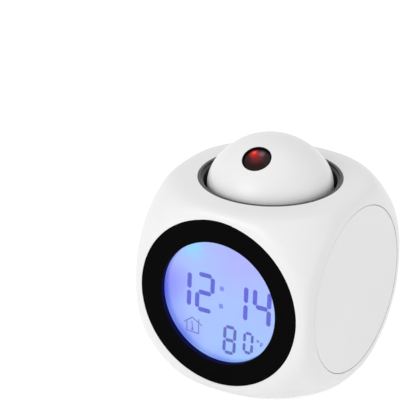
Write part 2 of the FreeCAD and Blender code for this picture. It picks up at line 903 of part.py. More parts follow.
# Well on the top, in heights from the middle of the body
def socket_ring():
    rim = body_above + well_rim_proud
    step = rim - well_funnel_depth
    flange_top_at = well_flange_height + well_flange_thick
    barrel_r_out = well_r + well_wall
    floor_low = well_floor - well_floor_thick
    cup = spun([(well_bore_r, floor_low), (barrel_r_out, floor_low), (barrel_r_out, well_flange_height),
                (well_flange_r, well_flange_height), (well_flange_r, flange_top_at),
                (well_rim_r, flange_top_at), (well_rim_r, rim), (well_funnel_r, step), (well_r, step),
                (well_r, well_floor), (well_bore_r, well_floor)])
    bushing = tube(bushing_r, well_bore_r, bushing_bottom, bushing_top)
    ear = cylinder(well_ear_r, well_flange_height, flange_top_at, x=well_ear_at).fuse(
        block(barrel_r_out - well_wall / 2, well_ear_at, -well_ear_r, well_ear_r,
              well_flange_height, flange_top_at))
    ear = ear.cut(cylinder(pass_r, well_flange_height - 1, flange_top_at + 1, x=well_ear_at))
    posts = [cylinder(snooze_post_r, snooze_board_top, floor_low + fit, x=x)
             for x in (-snooze_post_x, snooze_post_x)]
    cup = joined([cup, bushing] + around(ear, 4, diagonal) + posts)
    for x in (-snooze_post_x, snooze_post_x):
        cup = cup.cut(cylinder(thread_r, snooze_board_top - 1, snooze_board_top + screw_length, x=x))
    half = plunger_key_width / 2 + fit
    reach = plunger_r + plunger_key_reach + fit
    return cup.cut(block(-half, half, -reach, reach, bushing_bottom - 1, bushing_top + 1))


# Press and turn mechanism
def dome_plunger():
    shaft = cylinder(plunger_r, plunger_bottom, plunger_flange_bottom)
    flange = cylinder(plunger_flange_r, plunger_flange_bottom, flange_top)
    spigot = cylinder(spigot_r, flange_top, spigot_end)
    half = plunger_key_width / 2
    reach = plunger_r + plunger_key_reach
    keys = block(-half, half, -reach, reach, bushing_bottom, plunger_flange_bottom)
    plunger = joined([shaft, flange, spigot, keys])
    groove_low = clip_top - clip_thick - clip_gap
    plunger = plunger.cut(tube(plunger_r + plunger_key_reach + 1, clip_groove_r, groove_low, bushing_bottom))
    plunger = plunger.cut(cylinder(swivel_hole_r, spigot_end - swivel_screw_length - 1, spigot_end + 1))
    extra = math.degrees(math.asin((stop_pin_r + stop_pin_gap) / stop_groove_r))
    sweep = 2 * (turn_each_way + extra)
    half_groove = stop_groove_width / 2
    groove = sector(stop_groove_r + half_groove, stop_groove_r - half_groove, flange_top - stop_groove_depth,
                    flange_top + 1, 270 - sweep / 2, sweep)
    return plunger.cut(groove)


def retaining_clip():
    clip = tube(clip_r, clip_groove_r + seat_gap, clip_top - clip_thick, clip_top)
    return clip.cut(block(0, clip_r + 1, -clip_mouth_half, clip_mouth_half,
                          clip_top - clip_thick - 1, clip_top + 1))


def return_spring():
    return coil(spring_r, spring_wire_r, well_floor, plunger_flange_bottom, spring_turns)


def friction_washer():
    return tube(friction_washer_out, friction_washer_in, flange_top, flange_top + friction_washer_thick)


def turntable():
    radius = dome_r - dome_wall - turntable_gap
    disc = tube(radius, spigot_r + plunger_slide_gap, turntable_bottom, turntable_top)
    pin = cylinder(stop_pin_r, flange_top - stop_groove_depth + stop_pin_gap, turntable_top, x=stop_groove_r)
    disc = disc.fuse(turned(pin, 270 + dome_turn)).removeSplitter()
    for hole in around(dome_screw_hole(), 3, 90 + dome_turn):
        disc = disc.cut(hole)
    return disc


def dome_screw_hole():
    """Countersunk hole in the underside of the turntable."""
    hole = turned(flat_screw_hole(), 180, axis=V(1, 0, 0))
    return moved(hole, dome_boss_at, 0, turntable_bottom)


def dome_screws():
    screw = moved(turned(flat_screw(screw_length), 180, axis=V(1, 0, 0)), dome_boss_at, 0, turntable_bottom)
    return Part.makeCompound(around(screw, 3, 90 + dome_turn))


def swivel_screw():
    """Screw with a washer head that keeps the turntable on its spigot."""
    seat = spigot_end + swivel_washer_thick
    head = cylinder(swivel_screw_head_r, seat, seat + swivel_screw_head_thick)
    head_top = seat + swivel_screw_head_thick
    head = head.makeFillet(swivel_screw_head_thick * head_round, rims_at(head, head_top))
    washer = cylinder(swivel_washer_r, spigot_end, seat)
    screw = joined([head, washer, cylinder(swivel_screw_r, spigot_end - swivel_screw_length, spigot_end)])
    half = screw_slot_width / 2
    reach = swivel_screw_head_r * slot_reach
    bar = block(-reach, reach, -half, half, head_top - screw_slot_depth, head_top + 1)
    return screw.cut(bar.fuse(turned(bar, 90)))


# Snooze switch under the plunger
def snooze_board():
    board = block(-snooze_board_half_x, snooze_board_half_x, -snooze_board_half_y, snooze_board_half_y,
                  snooze_board_top - board_thick, snooze_board_top)
    for x in (-snooze_post_x, snooze_post_x):
        board = board.cut(cylinder(pass_r, snooze_board_top - board_thick - 1, snooze_board_top + 1, x=x))
    return board


def snooze_switch():
    half = switch_side / 2
    body = block(-half, half, -half, half, snooze_board_top, snooze_body_top)
    return joined([body, cylinder(switch_plunger_r, snooze_body_top - 1, snooze_tip)])


# Dome, in heights from the middle of the body
def dome_solid(inset):
    """Solid under the dome's outer surface, moved inwards by inset, down to the turntable."""
    crown = dome_crown_r - inset
    side = dome_side_r - inset
    angle = math.radians(dome_crown_angle)
    half = angle / 2
    apex = V(0, 0, dome_crown_height + crown)
    crown_mid = V(crown * math.sin(half), 0, dome_crown_height + crown * math.cos(half))
    join = V(crown * math.sin(angle), 0, dome_crown_height + crown * math.cos(angle))
    between = (angle + math.pi / 2) / 2
    side_mid = V(dome_side_centre_r + side * math.sin(between), 0,
                 dome_side_centre_z + side * math.cos(between))
    widest = V(dome_side_centre_r + side, 0, dome_side_centre_z)
    foot = V(widest.x, 0, turntable_bottom)
    centre = V(0, 0, turntable_bottom)
    return revolve([
        Part.Arc(apex, crown_mid, join).toShape(), Part.Arc(join, side_mid, widest).toShape(),
        Part.makeLine(widest, foot), Part.makeLine(foot, centre), Part.makeLine(centre, apex)])


def dome_shell():
    bore = cylinder(dome_r - dome_wall, turntable_bottom - 1, turntable_bottom + 1)
    hollow = dome_solid(dome_wall).fuse(bore).removeSplitter()
    shell = dome_solid(0).cut(hollow)
    boss = cylinder(dome_boss_r, turntable_top + seat_gap, dome_crown_height + dome_crown_r, x=dome_boss_at)
    bosses = [boss_at.common(dome_solid(dome_wall / 2)) for boss_at in around(boss, 3, 90 + dome_turn)]
    shell = joined([shell] + bosses)
    hole = cylinder(thread_r, turntable_bottom - 1, turntable_bottom + screw_length + fit, x=dome_boss_at)
    for cutter in around(hole, 3, 90 + dome_turn):
        shell = shell.cut(cutter)
    lens_hole = moved(on_lens(cylinder(lens_hole_r, dome_crown_r / 2, dome_crown_r + 5)), 0, 0, -mid)
    return shell.cut(lens_hole)


# Projector, about the lens axis and in heights from the middle of the crown's sphere
def lens_face():
    return dome_crown_r - barrel_recess


def projector_barrel():
    """Black barrel: a nose in the dome's hole, a body behind it and a stepped bore."""
    low = dome_crown_r - barrel_length
    body = cylinder(barrel_r, low, dome_crown_r).common(Part.makeSphere(dome_crown_r - dome_wall - fit))
    nose = cylinder(barrel_nose_r, low, dome_crown_r + 1).common(Part.makeSphere(dome_crown_r))
    barrel = joined([body, nose])
    barrel = barrel.cut(cylinder(barrel_bore_r, low - 1, dome_crown_r + 1))
    return barrel.cut(cylinder(barrel_nose_r - barrel_rim, lens_face() - lens_thick, dome_crown_r + 1))


def projector_lens():
    """Front lens, flat behind and bulging forwards."""
    radius = barrel_nose_r - barrel_rim - seat_gap
    ball_r = (radius ** 2 + lens_bulge ** 2) / (2 * lens_bulge)
    face = lens_face()
    ball = Part.makeSphere(ball_r, V(0, 0, face - ball_r))
    return cylinder(radius, face - lens_thick, face).common(ball)


def condenser_lens():
    face = dome_crown_r - condenser_depth
    return cylinder(barrel_bore_r - seat_gap, face - condenser_thick, face)


def slide_lcd():
    face = dome_crown_r - slide_depth
    return block(-slide_half, slide_half, -slide_half, slide_half, face - slide_thick, face)


def red_led():
    low = dome_crown_r - barrel_length
    led = cylinder(led_r, low, low + led_length)
    return led.makeFillet(led_round, rims_at(led, low + led_length))


def led_board():
    low = dome_crown_r - barrel_length
    return cylinder(led_board_r, low - led_board_thick, low)


# Screws of the fixed parts
def case_screws():
    """Countersunk screws of the rear cover and of the base."""
    screw = moved(flat_screw(cap_thick + screw_length), ear_at, 0, 0)
    return Part.makeCompound([on_rear(s) for s in around(screw, 4, diagonal)]
                             + [on_base(s) for s in around(screw, 4)])


def inner_screws():
    """Pan-head screws of the three boards and of the well."""
    screw = turned(pan_screw(board_screw_length), 180, axis=V(1, 0, 0))
    screws = [on_front(moved(screw, x, y, -board_back)) for x, y in post_places()]
    back = -button_board_face - board_thick
    screws += [on_rear(moved(screw, x, y, back)) for x, y in cover_post_places()]
    low = snooze_board_top - board_thick
    screws += [from_middle(moved(screw, x, 0, low)) for x in (-snooze_post_x, snooze_post_x)]
    ear_screw = moved(screw, well_ear_at, 0, well_flange_height)
    screws += [from_middle(s) for s in around(ear_screw, 4, diagonal)]
    return Part.makeCompound(screws)


# Leads
def battery_leads():
    """Two leads from the solder tabs on the battery tray to the back of the main board."""
    z = foot_stand + tray_roof + tray_wall + contact_tab / 2 + lead_r / 2
    board_y = -body_half + board_back
    leads = []
    for x, y in contact_tab_places():
        side = lead_rise if x > 0 else -lead_rise
        start_y = -y - contact_half / 2
        far = start_y - board_y
        leads.append(lead([
            (x, start_y, z), (x, start_y - 0.2 * far, z), (x + side / 2, start_y - 0.45 * far, z + lead_rise),
            (x - side, start_y - 0.8 * far, z + lead_rise / 2), (x - side, board_y, z + lead_rise / 2)]))
    return Part.makeCompound(leads)


def key_leads():
    """Leads from the button board to the main board, sagging under the snooze switch."""
    start_y = body_half - button_board_face - board_thick
    end_y = -body_half + board_back
    z = mid - key_drop
    end_z = z - key_lead_end_drop
    leads = []
    for i in range(key_lead_count):
        x = (i - (key_lead_count - 1) / 2) * key_lead_pitch
        leads.append(lead([
            (x, start_y, z), (x, start_y - key_lead_straight, z),
            (x, start_y - key_lead_slope, z - 0.75 * key_lead_sag), (x, 0, z - key_lead_sag),
            (x, end_y + key_lead_slope, z - 0.9 * key_lead_sag),
            (x, end_y + key_lead_straight, end_z), (x, end_y, end_z)]))
    return Part.makeCompound(leads)


def build():
    parts = {
        "main_shell": main_shell(),
        "side_cap_right": on_right(side_cap()),
        "side_cap_left": on_left(side_cap()),
        "bezel_ring": on_front(bezel_ring()),
        "front_window": on_front(front_window()),
        "polarisers": on_front(polarisers()),
        "lcd_front_glass": on_front(lcd_front_glass()),
        "lcd_rear_glass": on_front(lcd_rear_glass()),
        "light_guide": on_front(light_guide()),
        "backlight_leds": on_front(backlight_leds()),
        "lcd_frame": on_front(lcd_frame()),
        "contact_strip": on_front(contact_strip()),
        "main_board": on_front(main_board()),
        "chip_blobs": on_front(chip_blobs()),
        "quartz_crystal": on_front(quartz_crystal()),
        "capacitors": on_front(capacitors()),
        "rear_cover": on_rear(rear_cover()),
        "tact_switches": on_rear(tact_switches()),
        "button_board": on_rear(button_board()),
        "thermistor": on_rear(thermistor()),
        "speaker_basket": on_rear(speaker_basket()),
        "speaker_magnet": on_rear(speaker_magnet()),
        "speaker_cone": on_rear(speaker_cone()),
        "base_plate": on_base(base_plate()),
        "battery_door": on_base(battery_door()),
        "rubber_feet": on_base(rubber_feet()),
        "contact_plates": on_base(contact_plates()),
        "contact_springs": on_base(contact_springs()),
        "socket_ring": from_middle(socket_ring()),
        "dome_plunger": from_middle(dome_plunger()),
        "retaining_clip": from_middle(retaining_clip()),
        "return_spring": from_middle(return_spring()),
        "friction_washer": from_middle(friction_washer()),
        "turntable": from_middle(turntable()),
        "dome_screws": from_middle(dome_screws()),
        "swivel_screw": from_middle(swivel_screw()),
        "snooze_board": from_middle(snooze_board()),
        "snooze_switch": from_middle(snooze_switch()),
        "dome_shell": from_middle(dome_shell()),
        "projector_barrel": on_lens(projector_barrel()),
        "projector_lens": on_lens(projector_lens()),
        "condenser_lens": on_lens(condenser_lens()),
        "slide_lcd": on_lens(slide_lcd()),
        "red_led": on_lens(red_led()),
        "led_board": on_lens(led_board()),
        "case_screws": case_screws(),
        "inner_screws": inner_screws(),
        "battery_leads": battery_leads(),
        "key_leads": key_leads(),
    }
    for i in range(cell_count):
        parts["cell_%d" % (i + 1)] = on_base(cell(i))
    for name, (x, y) in zip(("mode", "set", "up", "down"), key_places()):
        parts[name + "_button"] = on_rear(key(x, y))
        parts[name + "_plunger"] = on_rear(key_plunger(x, y))
    return parts


os.makedirs("parts", exist_ok=True)
for name, shape in build().items():
    shape.exportStep("parts/" + name + ".step")
    print(name, len(shape.Solids), shape.isValid(), round(shape.Volume, 2))
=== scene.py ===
# %% [markdown]
# # A bedside projection clock
# The real clock is a glossy white cube about 80 mm across. Its corners lie on a ball, a round display sits
# behind a flat black ring on the front, and a dome that hides a small projector stands in a dark well on top.
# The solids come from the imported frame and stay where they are. This script gives them their finishes, and it
# builds again the pieces that the eye stays on: the case, the ring, the window, the lit display, the caps, the
# dome, the lens, the lip of the well, the keys, the screws, the return spring and the speaker cloth.

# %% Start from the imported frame
import json
import math

import bmesh
import bpy
from mathutils import Matrix, Vector


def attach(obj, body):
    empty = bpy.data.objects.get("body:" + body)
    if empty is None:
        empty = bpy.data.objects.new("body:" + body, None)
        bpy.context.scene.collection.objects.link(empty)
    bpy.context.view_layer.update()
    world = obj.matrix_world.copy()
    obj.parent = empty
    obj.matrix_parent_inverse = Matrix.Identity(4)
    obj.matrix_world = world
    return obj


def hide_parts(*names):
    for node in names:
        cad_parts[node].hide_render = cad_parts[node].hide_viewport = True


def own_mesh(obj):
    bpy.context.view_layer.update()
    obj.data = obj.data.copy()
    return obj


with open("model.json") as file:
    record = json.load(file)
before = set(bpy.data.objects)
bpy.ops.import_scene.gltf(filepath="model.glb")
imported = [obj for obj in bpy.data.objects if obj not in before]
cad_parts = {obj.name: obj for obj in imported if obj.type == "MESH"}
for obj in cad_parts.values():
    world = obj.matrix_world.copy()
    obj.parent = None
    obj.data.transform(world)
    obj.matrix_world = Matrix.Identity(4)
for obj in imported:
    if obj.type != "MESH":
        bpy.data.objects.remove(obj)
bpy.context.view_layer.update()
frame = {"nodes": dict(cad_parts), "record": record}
MM = 0.001
MIDDLE = 41.0          # height of the middle of the body above the table, in mm
HALF = 40.0            # half the width of the body, in mm

# %% [markdown]
# ## Camera
# The photograph was taken with a long lens from above and from the clock's right, with the clock in the lower
# right of the frame. The camera's place, the point on its axis and a small roll were worked out from the round
# rims of the ring, the side cap and the well, which turn into ellipses in the picture.

# %% Camera
CAMERA_PLACE = Vector((0.50461, -0.89041, 0.52801))
CAMERA_AIM = Vector((-0.02936, -0.00512, 0.06508))
CAMERA_ROLL = math.radians(0.412)
LENS_MM = 254.354


def new_object(name, data):
    """An object of the scene that shows this data."""
    thing = bpy.data.objects.new(name, data)
    bpy.context.scene.collection.objects.link(thing)
    return thing


camera_data = bpy.data.cameras.new("camera")
camera_data.lens = LENS_MM
camera_data.sensor_width = 36.0
camera_data.clip_start = 0.05
camera_data.clip_end = 20.0
camera = new_object("camera", camera_data)
look = (CAMERA_AIM - CAMERA_PLACE).to_track_quat("-Z", "Y").to_matrix().to_4x4()
camera.matrix_world = Matrix.Translation(CAMERA_PLACE) @ look @ Matrix.Rotation(CAMERA_ROLL, 4, "Z")
bpy.context.scene.camera = camera
print("camera", round((CAMERA_AIM - CAMERA_PLACE).length, 3), "m from its aim")

# %% [markdown]
# ## Studio
# The photograph is a cut-out on pure white. A pale floor and a pale world give the same look: the camera and
# mirror-like rays see them as white, while the light that they throw on the clock stays at a plain level. A
# bright backdrop alone would look as white, but it would wash out the clock's shadows. Three large soft lamps
# shape the white plastic, so that its front is a little darker than its top.

# %% Helpers for node trees
def nodes_of(owner):
    """The emptied node tree of a material or a world."""
    owner.use_nodes = True
    owner.node_tree.nodes.clear()
    return owner.node_tree


def feed(tree, node, given):
    """Link outputs to the inputs of a node, or write plain values on them. None leaves an input alone."""
    for label, value in given.items():
        if isinstance(value, bpy.types.NodeSocket):
            tree.links.new(value, node.inputs[label])
        elif value is not None:
            node.inputs[label].default_value = value


def step(tree, kind, given=None, **options):
    """Add a node, choose its options, link or set the inputs that are given, and return its outputs."""
    node = tree.nodes.new(kind)
    for label, value in options.items():
        setattr(node, label, value)
    feed(tree, node, given or {})
    return node.outputs


def sums(tree, operation, first, second=None, third=None):
    """One operation on plain numbers or sockets."""
    return step(tree, "ShaderNodeMath", {0: first, 1: second, 2: third}, operation=operation)[0]


def product(tree, first, *others):
    """Several numbers or sockets multiplied in their order."""
    for other in others:
        first = sums(tree, "MULTIPLY", first, other)
    return first


def vectors(tree, operation, first, second=None, third=None):
    """One operation on vectors. The vector is output 0, and a length or distance is output 1."""
    return step(tree, "ShaderNodeVectorMath", {0: first, 1: second, 2: third}, operation=operation)


def seen_as_white(tree):
    """1 for rays from the camera, from a mirror and through glass, and 0 for the rays that light things."""
    path = step(tree, "ShaderNodeLightPath")
    mirror = sums(tree, "MAXIMUM", path["Is Camera Ray"], path["Is Glossy Ray"])
    return sums(tree, "MAXIMUM", mirror, path["Is Transmission Ray"])


# %% Studio
AMBIENT = 0.64
world = bpy.data.worlds.new("studio")
bpy.context.scene.world = world
tree = nodes_of(world)
WHITE = (1, 1, 1, 1)
ambient = step(tree, "ShaderNodeBackground", {"Color": WHITE, "Strength": AMBIENT})[0]
white = step(tree, "ShaderNodeBackground", {"Color": WHITE})[0]
pick = step(tree, "ShaderNodeMixShader", {0: seen_as_white(tree), 1: ambient, 2: white})[0]
step(tree, "ShaderNodeOutputWorld", {0: pick})

# The floor keeps the clock's shadow. It throws some light up on the clock, and a stronger glow that only the
# camera and mirror-like rays see makes the rest of it white.
FLOOR_GLOW = 0.36
FLOOR_BOUNCE = 0.19
floor_mesh = bpy.data.meshes.new("floor")
reach = 6.0
floor_mesh.from_pydata([(-reach, -reach, 0), (reach, -reach, 0), (reach, reach, 0), (-reach, reach, 0)],
                       [], [(0, 1, 2, 3)])
floor = new_object("floor", floor_mesh)
paper = bpy.data.materials.new("floor_paper")
tree = nodes_of(paper)
matt = step(tree, "ShaderNodeBsdfDiffuse", {"Color": (0.8, 0.8, 0.8, 1)})[0]
strength = sums(tree, "MULTIPLY_ADD", seen_as_white(tree), FLOOR_GLOW, FLOOR_BOUNCE)
glow = step(tree, "ShaderNodeEmission", {"Strength": strength})[0]
step(tree, "ShaderNodeOutputMaterial", {"Surface": step(tree, "ShaderNodeAddShader", {0: matt, 1: glow})[0]})
floor_mesh.materials.append(paper)

# Each lamp: name, place, size in metres, watts.
LAMPS = [
    ("front_softbox", (-0.90, -2.98, 1.50), 2.0, 37.0),
    ("top_softbox", (0.3, 0.4, 3.0), 2.0, 8.0),
    ("side_softbox", (3.0, 0.3, 0.8), 2.0, 8.0),
]
for name, place, size, watts in LAMPS:
    lamp_data = bpy.data.lights.new(name, "AREA")
    lamp_data.shape = "SQUARE"
    lamp_data.size = size
    lamp_data.energy = watts
    lamp = new_object(name, lamp_data)
    aim = Vector((0, 0, 0.05)) - Vector(place)
    lamp.matrix_world = Matrix.Translation(place) @ aim.to_track_quat("-Z", "Y").to_matrix().to_4x4()
print("lamps:", ", ".join(name for name, *_ in LAMPS))

# %% [markdown]
# ## Shared effects
# Real mouldings are never one flat colour: the tone drifts a little, fingers leave faint dull patches, and the
# skin has a very fine orange-peel. Those effects are node groups, so that every finish can use them with its
# own values. All of them read Object coordinates, because every piece's place is in its mesh.

# %% Helpers for node groups
def new_group(name, **takes):
    """An empty shader group and the sockets of its inputs, which are given with their default values."""
    group = bpy.data.node_groups.new(name, "ShaderNodeTree")
    for label, value in takes.items():
        kind = "NodeSocketFloat" if isinstance(value, float) else "NodeSocketColor"
        group.interface.new_socket(label, in_out="INPUT", socket_type=kind).default_value = value
    return group, group.nodes.new("NodeGroupInput").outputs


def end_group(group, **results):
    """Give a group its outputs, and return it."""
    for label, value in results.items():
        kind = "NodeSocketColor" if value.type == "RGBA" else "NodeSocketFloat"
        group.interface.new_socket(label, in_out="OUTPUT", socket_type=kind)
    feed(group, group.nodes.new("NodeGroupOutput"), results)
    return group


def noise(tree, scale, detail=2.0, stretch=(1, 1, 1), rough=0.5, shift=(0, 0, 0)):
    """Noise on Object coordinates, in cells per metre; scale may be a socket."""
    place = step(tree, "ShaderNodeTexCoord")["Object"]
    mapped = step(tree, "ShaderNodeMapping", {"Vector": place, "Scale": stretch, "Location": shift})["Vector"]
    return step(tree, "ShaderNodeTexNoise",
                {"Vector": mapped, "Scale": scale, "Detail": detail, "Roughness": rough})["Fac"]


def spread(tree, value, low, high, out_low=0.0, out_high=1.0):
    """Stretch the range low..high of a value to out_low..out_high; any end may be a socket."""
    return step(tree, "ShaderNodeMapRange", {"Value": value, "From Min": low, "From Max": high,
                                             "To Min": out_low, "To Max": out_high})["Result"]


def blend_colour(tree, amount, first, second, kind="MIX"):
    return step(tree, "ShaderNodeMix", {"Factor": amount, "A": first, "B": second},
                data_type="RGBA", blend_type=kind)["Result"]


def grey_of(tree, tone):
    """A grey of a changing brightness."""
    return step(tree, "ShaderNodeCombineColor", {"Red": tone, "Green": tone, "Blue": tone})["Color"]


# %% The skin of a moulding
def make_moulded_skin():
    group, takes = new_group("moulded_skin", Colour=(0.8, 0.8, 0.8, 1), Drift=0.03, Roughness=0.3, Smudge=0.06,
                             Grain=2500.0)
    slow = spread(group, noise(group, 28.0), 0.3, 0.7, -1.0, 1.0)
    tone = sums(group, "MULTIPLY_ADD", slow, takes["Drift"], 1.0)
    touched = spread(group, noise(group, 75.0, 5.0, rough=0.62), 0.42, 0.72)
    return end_group(
        group, Colour=blend_colour(group, 1.0, takes["Colour"], grey_of(group, tone), "MULTIPLY"),
        Roughness=sums(group, "MULTIPLY_ADD", touched, takes["Smudge"], takes["Roughness"]),
        Height=noise(group, takes["Grain"]))


# %% Fine scratches, dust that lies on what faces up, drawn metal and cloth
def make_hairlines():
    """Sparse scratches in two directions, as a mask."""
    group, takes = new_group("hairlines", Amount=1.0)
    first = noise(group, 60.0, 3.0, stretch=(1, 26, 5), rough=0.7)
    second = noise(group, 60.0, 3.0, stretch=(24, 1, 3), rough=0.7, shift=(3, 1, 2))
    lines = sums(group, "MAXIMUM", spread(group, first, 0.66, 0.72), spread(group, second, 0.66, 0.72))
    return end_group(group, Mask=product(group, lines, takes["Amount"]))


def make_dust():
    """Fine specks where the surface faces up, as a mask."""
    group, takes = new_group("dust", Amount=1.0)
    outwards = step(group, "ShaderNodeNewGeometry")["Normal"]
    facing_up = spread(group, step(group, "ShaderNodeSeparateXYZ", {0: outwards})["Z"], 0.35, 1.0)
    specks = spread(group, noise(group, 1400.0), 0.63, 0.75)
    return end_group(group, Mask=product(group, facing_up, specks, takes["Amount"]))


def make_brushed():
    """Fine parallel grain of drawn or rolled metal, as a mask."""
    group, takes = new_group("brushed", Scale=300.0)
    grain = noise(group, takes["Scale"], 4.0, stretch=(1, 1, 14), rough=0.65)
    return end_group(group, Mask=spread(group, grain, 0.25, 0.75))


def make_weave():
    """Plain weave of thin threads: a height and the tone of the threads."""
    group, takes = new_group("weave", Threads=2500.0)
    place = step(group, "ShaderNodeTexCoord")["Object"]
    waves = [step(group, "ShaderNodeTexWave", {"Vector": place, "Scale": takes["Threads"], "Distortion": 0.0},
                  bands_direction=direction)["Fac"] for direction in ("X", "Z")]
    return end_group(group, Height=sums(group, "MAXIMUM", *waves),
                     Tone=spread(group, product(group, *waves), 0.0, 1.0, 0.75, 1.1))


SKIN = make_moulded_skin()
HAIRLINES = make_hairlines()
DUST = make_dust()
BRUSHED = make_brushed()
WEAVE = make_weave()
print("shared effects:", ", ".join(g.name for g in (SKIN, HAIRLINES, DUST, BRUSHED, WEAVE)))

# %% [markdown]
# ## Finishes
# Most pieces are moulded plastic: glossy outside, satin behind and below, dark in the well. A single maker for
# them takes the shared effects with values of its own for each finish. Constant numbers, such as the specular
# level, go on the shader's own sockets.

# %% Moulded plastic, rubber and other skins
def use(tree, group, **values):
    """Place a shared effect in a material and set its inputs."""
    return step(tree, "ShaderNodeGroup", values, node_tree=group)


def rgb(*levels):
    """A colour given as it looks on the screen, 0 to 255, as the linear values that sockets take."""
    parts = [level / 255 for level in levels]
    return tuple(p / 12.92 if p <= 0.04045 else ((p + 0.055) / 1.055) ** 2.4 for p in parts) + (1.0,)


def dimmed(colour, factor):
    """A colour made darker, or lighter where the factor is over 1."""
    return tuple(min(1.0, c * factor) for c in colour[:3]) + (1.0,)


DUST_COLOUR = rgb(196, 193, 188)
FINISHES = {}


def new_finish(name, plain):
    """A material with one Principled shader whose constant inputs are written on its own sockets."""
    FINISHES[name] = bpy.data.materials.new(name)
    tree = nodes_of(FINISHES[name])
    shader = tree.nodes.new("ShaderNodeBsdfPrincipled")
    step(tree, "ShaderNodeOutputMaterial", {"Surface": shader.outputs[0]})
    feed(tree, shader, plain)
    return tree, shader


def bump(tree, height, depth_mm):
    """The normals of a surface that has this height on it."""
    return step(tree, "ShaderNodeBump",
                {"Strength": 1.0, "Distance": depth_mm * MM, "Height": height})["Normal"]


def skin(name, colour, roughness, drift=0.02, smudge=0.05, grain=2500.0, depth_mm=0.002, scratches=0.0,
         dust=0.0, plain=None):
    """A moulded or pressed material: tone drift, dull patches, fine peel, hairlines and settled dust."""
    tree, shader = new_finish(name, plain or {})
    base = use(tree, SKIN, Colour=colour, Drift=drift, Roughness=roughness, Smudge=smudge, Grain=grain)
    colour_out, rough_out = base["Colour"], base["Roughness"]
    if scratches:
        rough_out = sums(tree, "ADD", rough_out, use(tree, HAIRLINES, Amount=scratches)["Mask"])
    if dust:
        settled = use(tree, DUST, Amount=dust)["Mask"]
        colour_out = blend_colour(tree, settled, colour_out, DUST_COLOUR)
        rough_out = sums(tree, "ADD", rough_out, settled)
    feed(tree, shader, {"Base Color": colour_out, "Roughness": rough_out,
                        "Normal": bump(tree, base["Height"], depth_mm)})


def metal(name, colour, roughness, grain=300.0, depth_mm=0.001):
    """Drawn or rolled metal with a fine grain."""
    tree, shader = new_finish(name, {"Metallic": 1.0})
    grain_mask = use(tree, BRUSHED, Scale=grain)["Mask"]
    rough = spread(tree, grain_mask, 0.0, 1.0, roughness - 0.06, roughness + 0.08)
    feed(tree, shader, {"Base Color": blend_colour(tree, grain_mask, dimmed(colour, 0.82), colour),
                        "Roughness": sums(tree, "ADD", rough, use(tree, HAIRLINES, Amount=0.15)["Mask"]),
                        "Normal": bump(tree, grain_mask, depth_mm)})


SHELL_WHITE = rgb(239, 239, 239)
skin("white_gloss", SHELL_WHITE, 0.3, drift=0.008, smudge=0.06, depth_mm=0.0012, scratches=0.04)
skin("white_satin", rgb(234, 234, 233), 0.42, drift=0.015, smudge=0.08, grain=6000.0, depth_mm=0.006)
skin("key_white", rgb(228, 228, 229), 0.24, drift=0.01, smudge=0.1, scratches=0.08)
skin("well_grey", rgb(44, 44, 46), 0.36, drift=0.05, smudge=0.1, grain=4000.0, depth_mm=0.004, dust=0.2)
skin("inner_white", rgb(226, 225, 220), 0.5, drift=0.03, grain=5000.0, depth_mm=0.005)
skin("rubber_black", rgb(34, 34, 35), 0.72, drift=0.1, smudge=0.12, grain=7000.0, depth_mm=0.012, dust=0.2)
skin("board", rgb(172, 138, 82), 0.5, drift=0.08, grain=9000.0, depth_mm=0.01)
skin("epoxy_black", rgb(17, 17, 18), 0.2, drift=0.1, grain=900.0, depth_mm=0.01)
skin("sleeve_dark", rgb(26, 32, 60), 0.28, drift=0.06, grain=1200.0, depth_mm=0.004)
skin("switch_dark", rgb(38, 38, 40), 0.45, drift=0.06, grain=5000.0, depth_mm=0.006)
skin("cell_jacket", rgb(62, 84, 140), 0.3, drift=0.05, scratches=0.2, grain=1500.0)
skin("barrel_black", rgb(10, 10, 11), 0.42, drift=0.08, grain=5000.0, depth_mm=0.004,
     plain={"Specular IOR Level": 0.15})
skin("led_white", rgb(250, 250, 236), 0.3, drift=0.02)
skin("lead_jacket", rgb(190, 40, 38), 0.45, drift=0.05, grain=3000.0)
skin("guide_clear", rgb(238, 241, 247), 0.35, drift=0.01, grain=8000.0, depth_mm=0.01)
metal("steel", rgb(214, 214, 216), 0.3)
metal("nickel", rgb(226, 225, 220), 0.16, grain=600.0)
metal("magnet", rgb(120, 120, 124), 0.45, grain=200.0, depth_mm=0.004)
print("plain finishes:", len(FINISHES))

# %% [markdown]
# ## Cloth, film and glass
# The felt washer and the speaker cone are fibres, so they get a weave and no gloss. The display is a film that
# glows from behind: an even pale blue, more violet at the left and at the upper right, with a cyan patch at the
# upper left where one of the lamps shines through. Light that a surface gives off is painted by place on the
# film, so it stays put from any side. Glass keeps its plain transmission, with smudges in its roughness.

# %% Felt and pressed cone
def woven(name, colour, threads, depth_mm):
    tree, shader = new_finish(name, {"Sheen Weight": 0.3, "Sheen Roughness": 0.5, "Specular IOR Level": 0.2})
    cloth = use(tree, WEAVE, Threads=threads)
    fuzz = noise(tree, 3000.0, 4.0)
    feed(tree, shader, {
        "Base Color": blend_colour(tree, 1.0, colour, grey_of(tree, cloth["Tone"]), "MULTIPLY"),
        "Roughness": spread(tree, fuzz, 0.2, 0.8, 0.75, 0.98),
        "Normal": bump(tree, sums(tree, "ADD", cloth["Height"], fuzz), depth_mm)})


woven("felt", rgb(52, 52, 55), 900.0, 0.05)
woven("cone_film", rgb(60, 60, 62), 1500.0, 0.02)

# %% The lit film of the display
def near_point(tree, point, reach_mm):
    """Mask that falls off smoothly with the distance from a point in mm, on Object coordinates."""
    place = step(tree, "ShaderNodeTexCoord")["Object"]
    far = vectors(tree, "DISTANCE", place, [c * MM for c in point])[1]
    return step(tree, "ShaderNodeMapRange",
                {"Value": far, "From Min": 0.0, "From Max": reach_mm * MM, "To Min": 1.0, "To Max": 0.0},
                interpolation_type="SMOOTHERSTEP")["Result"]


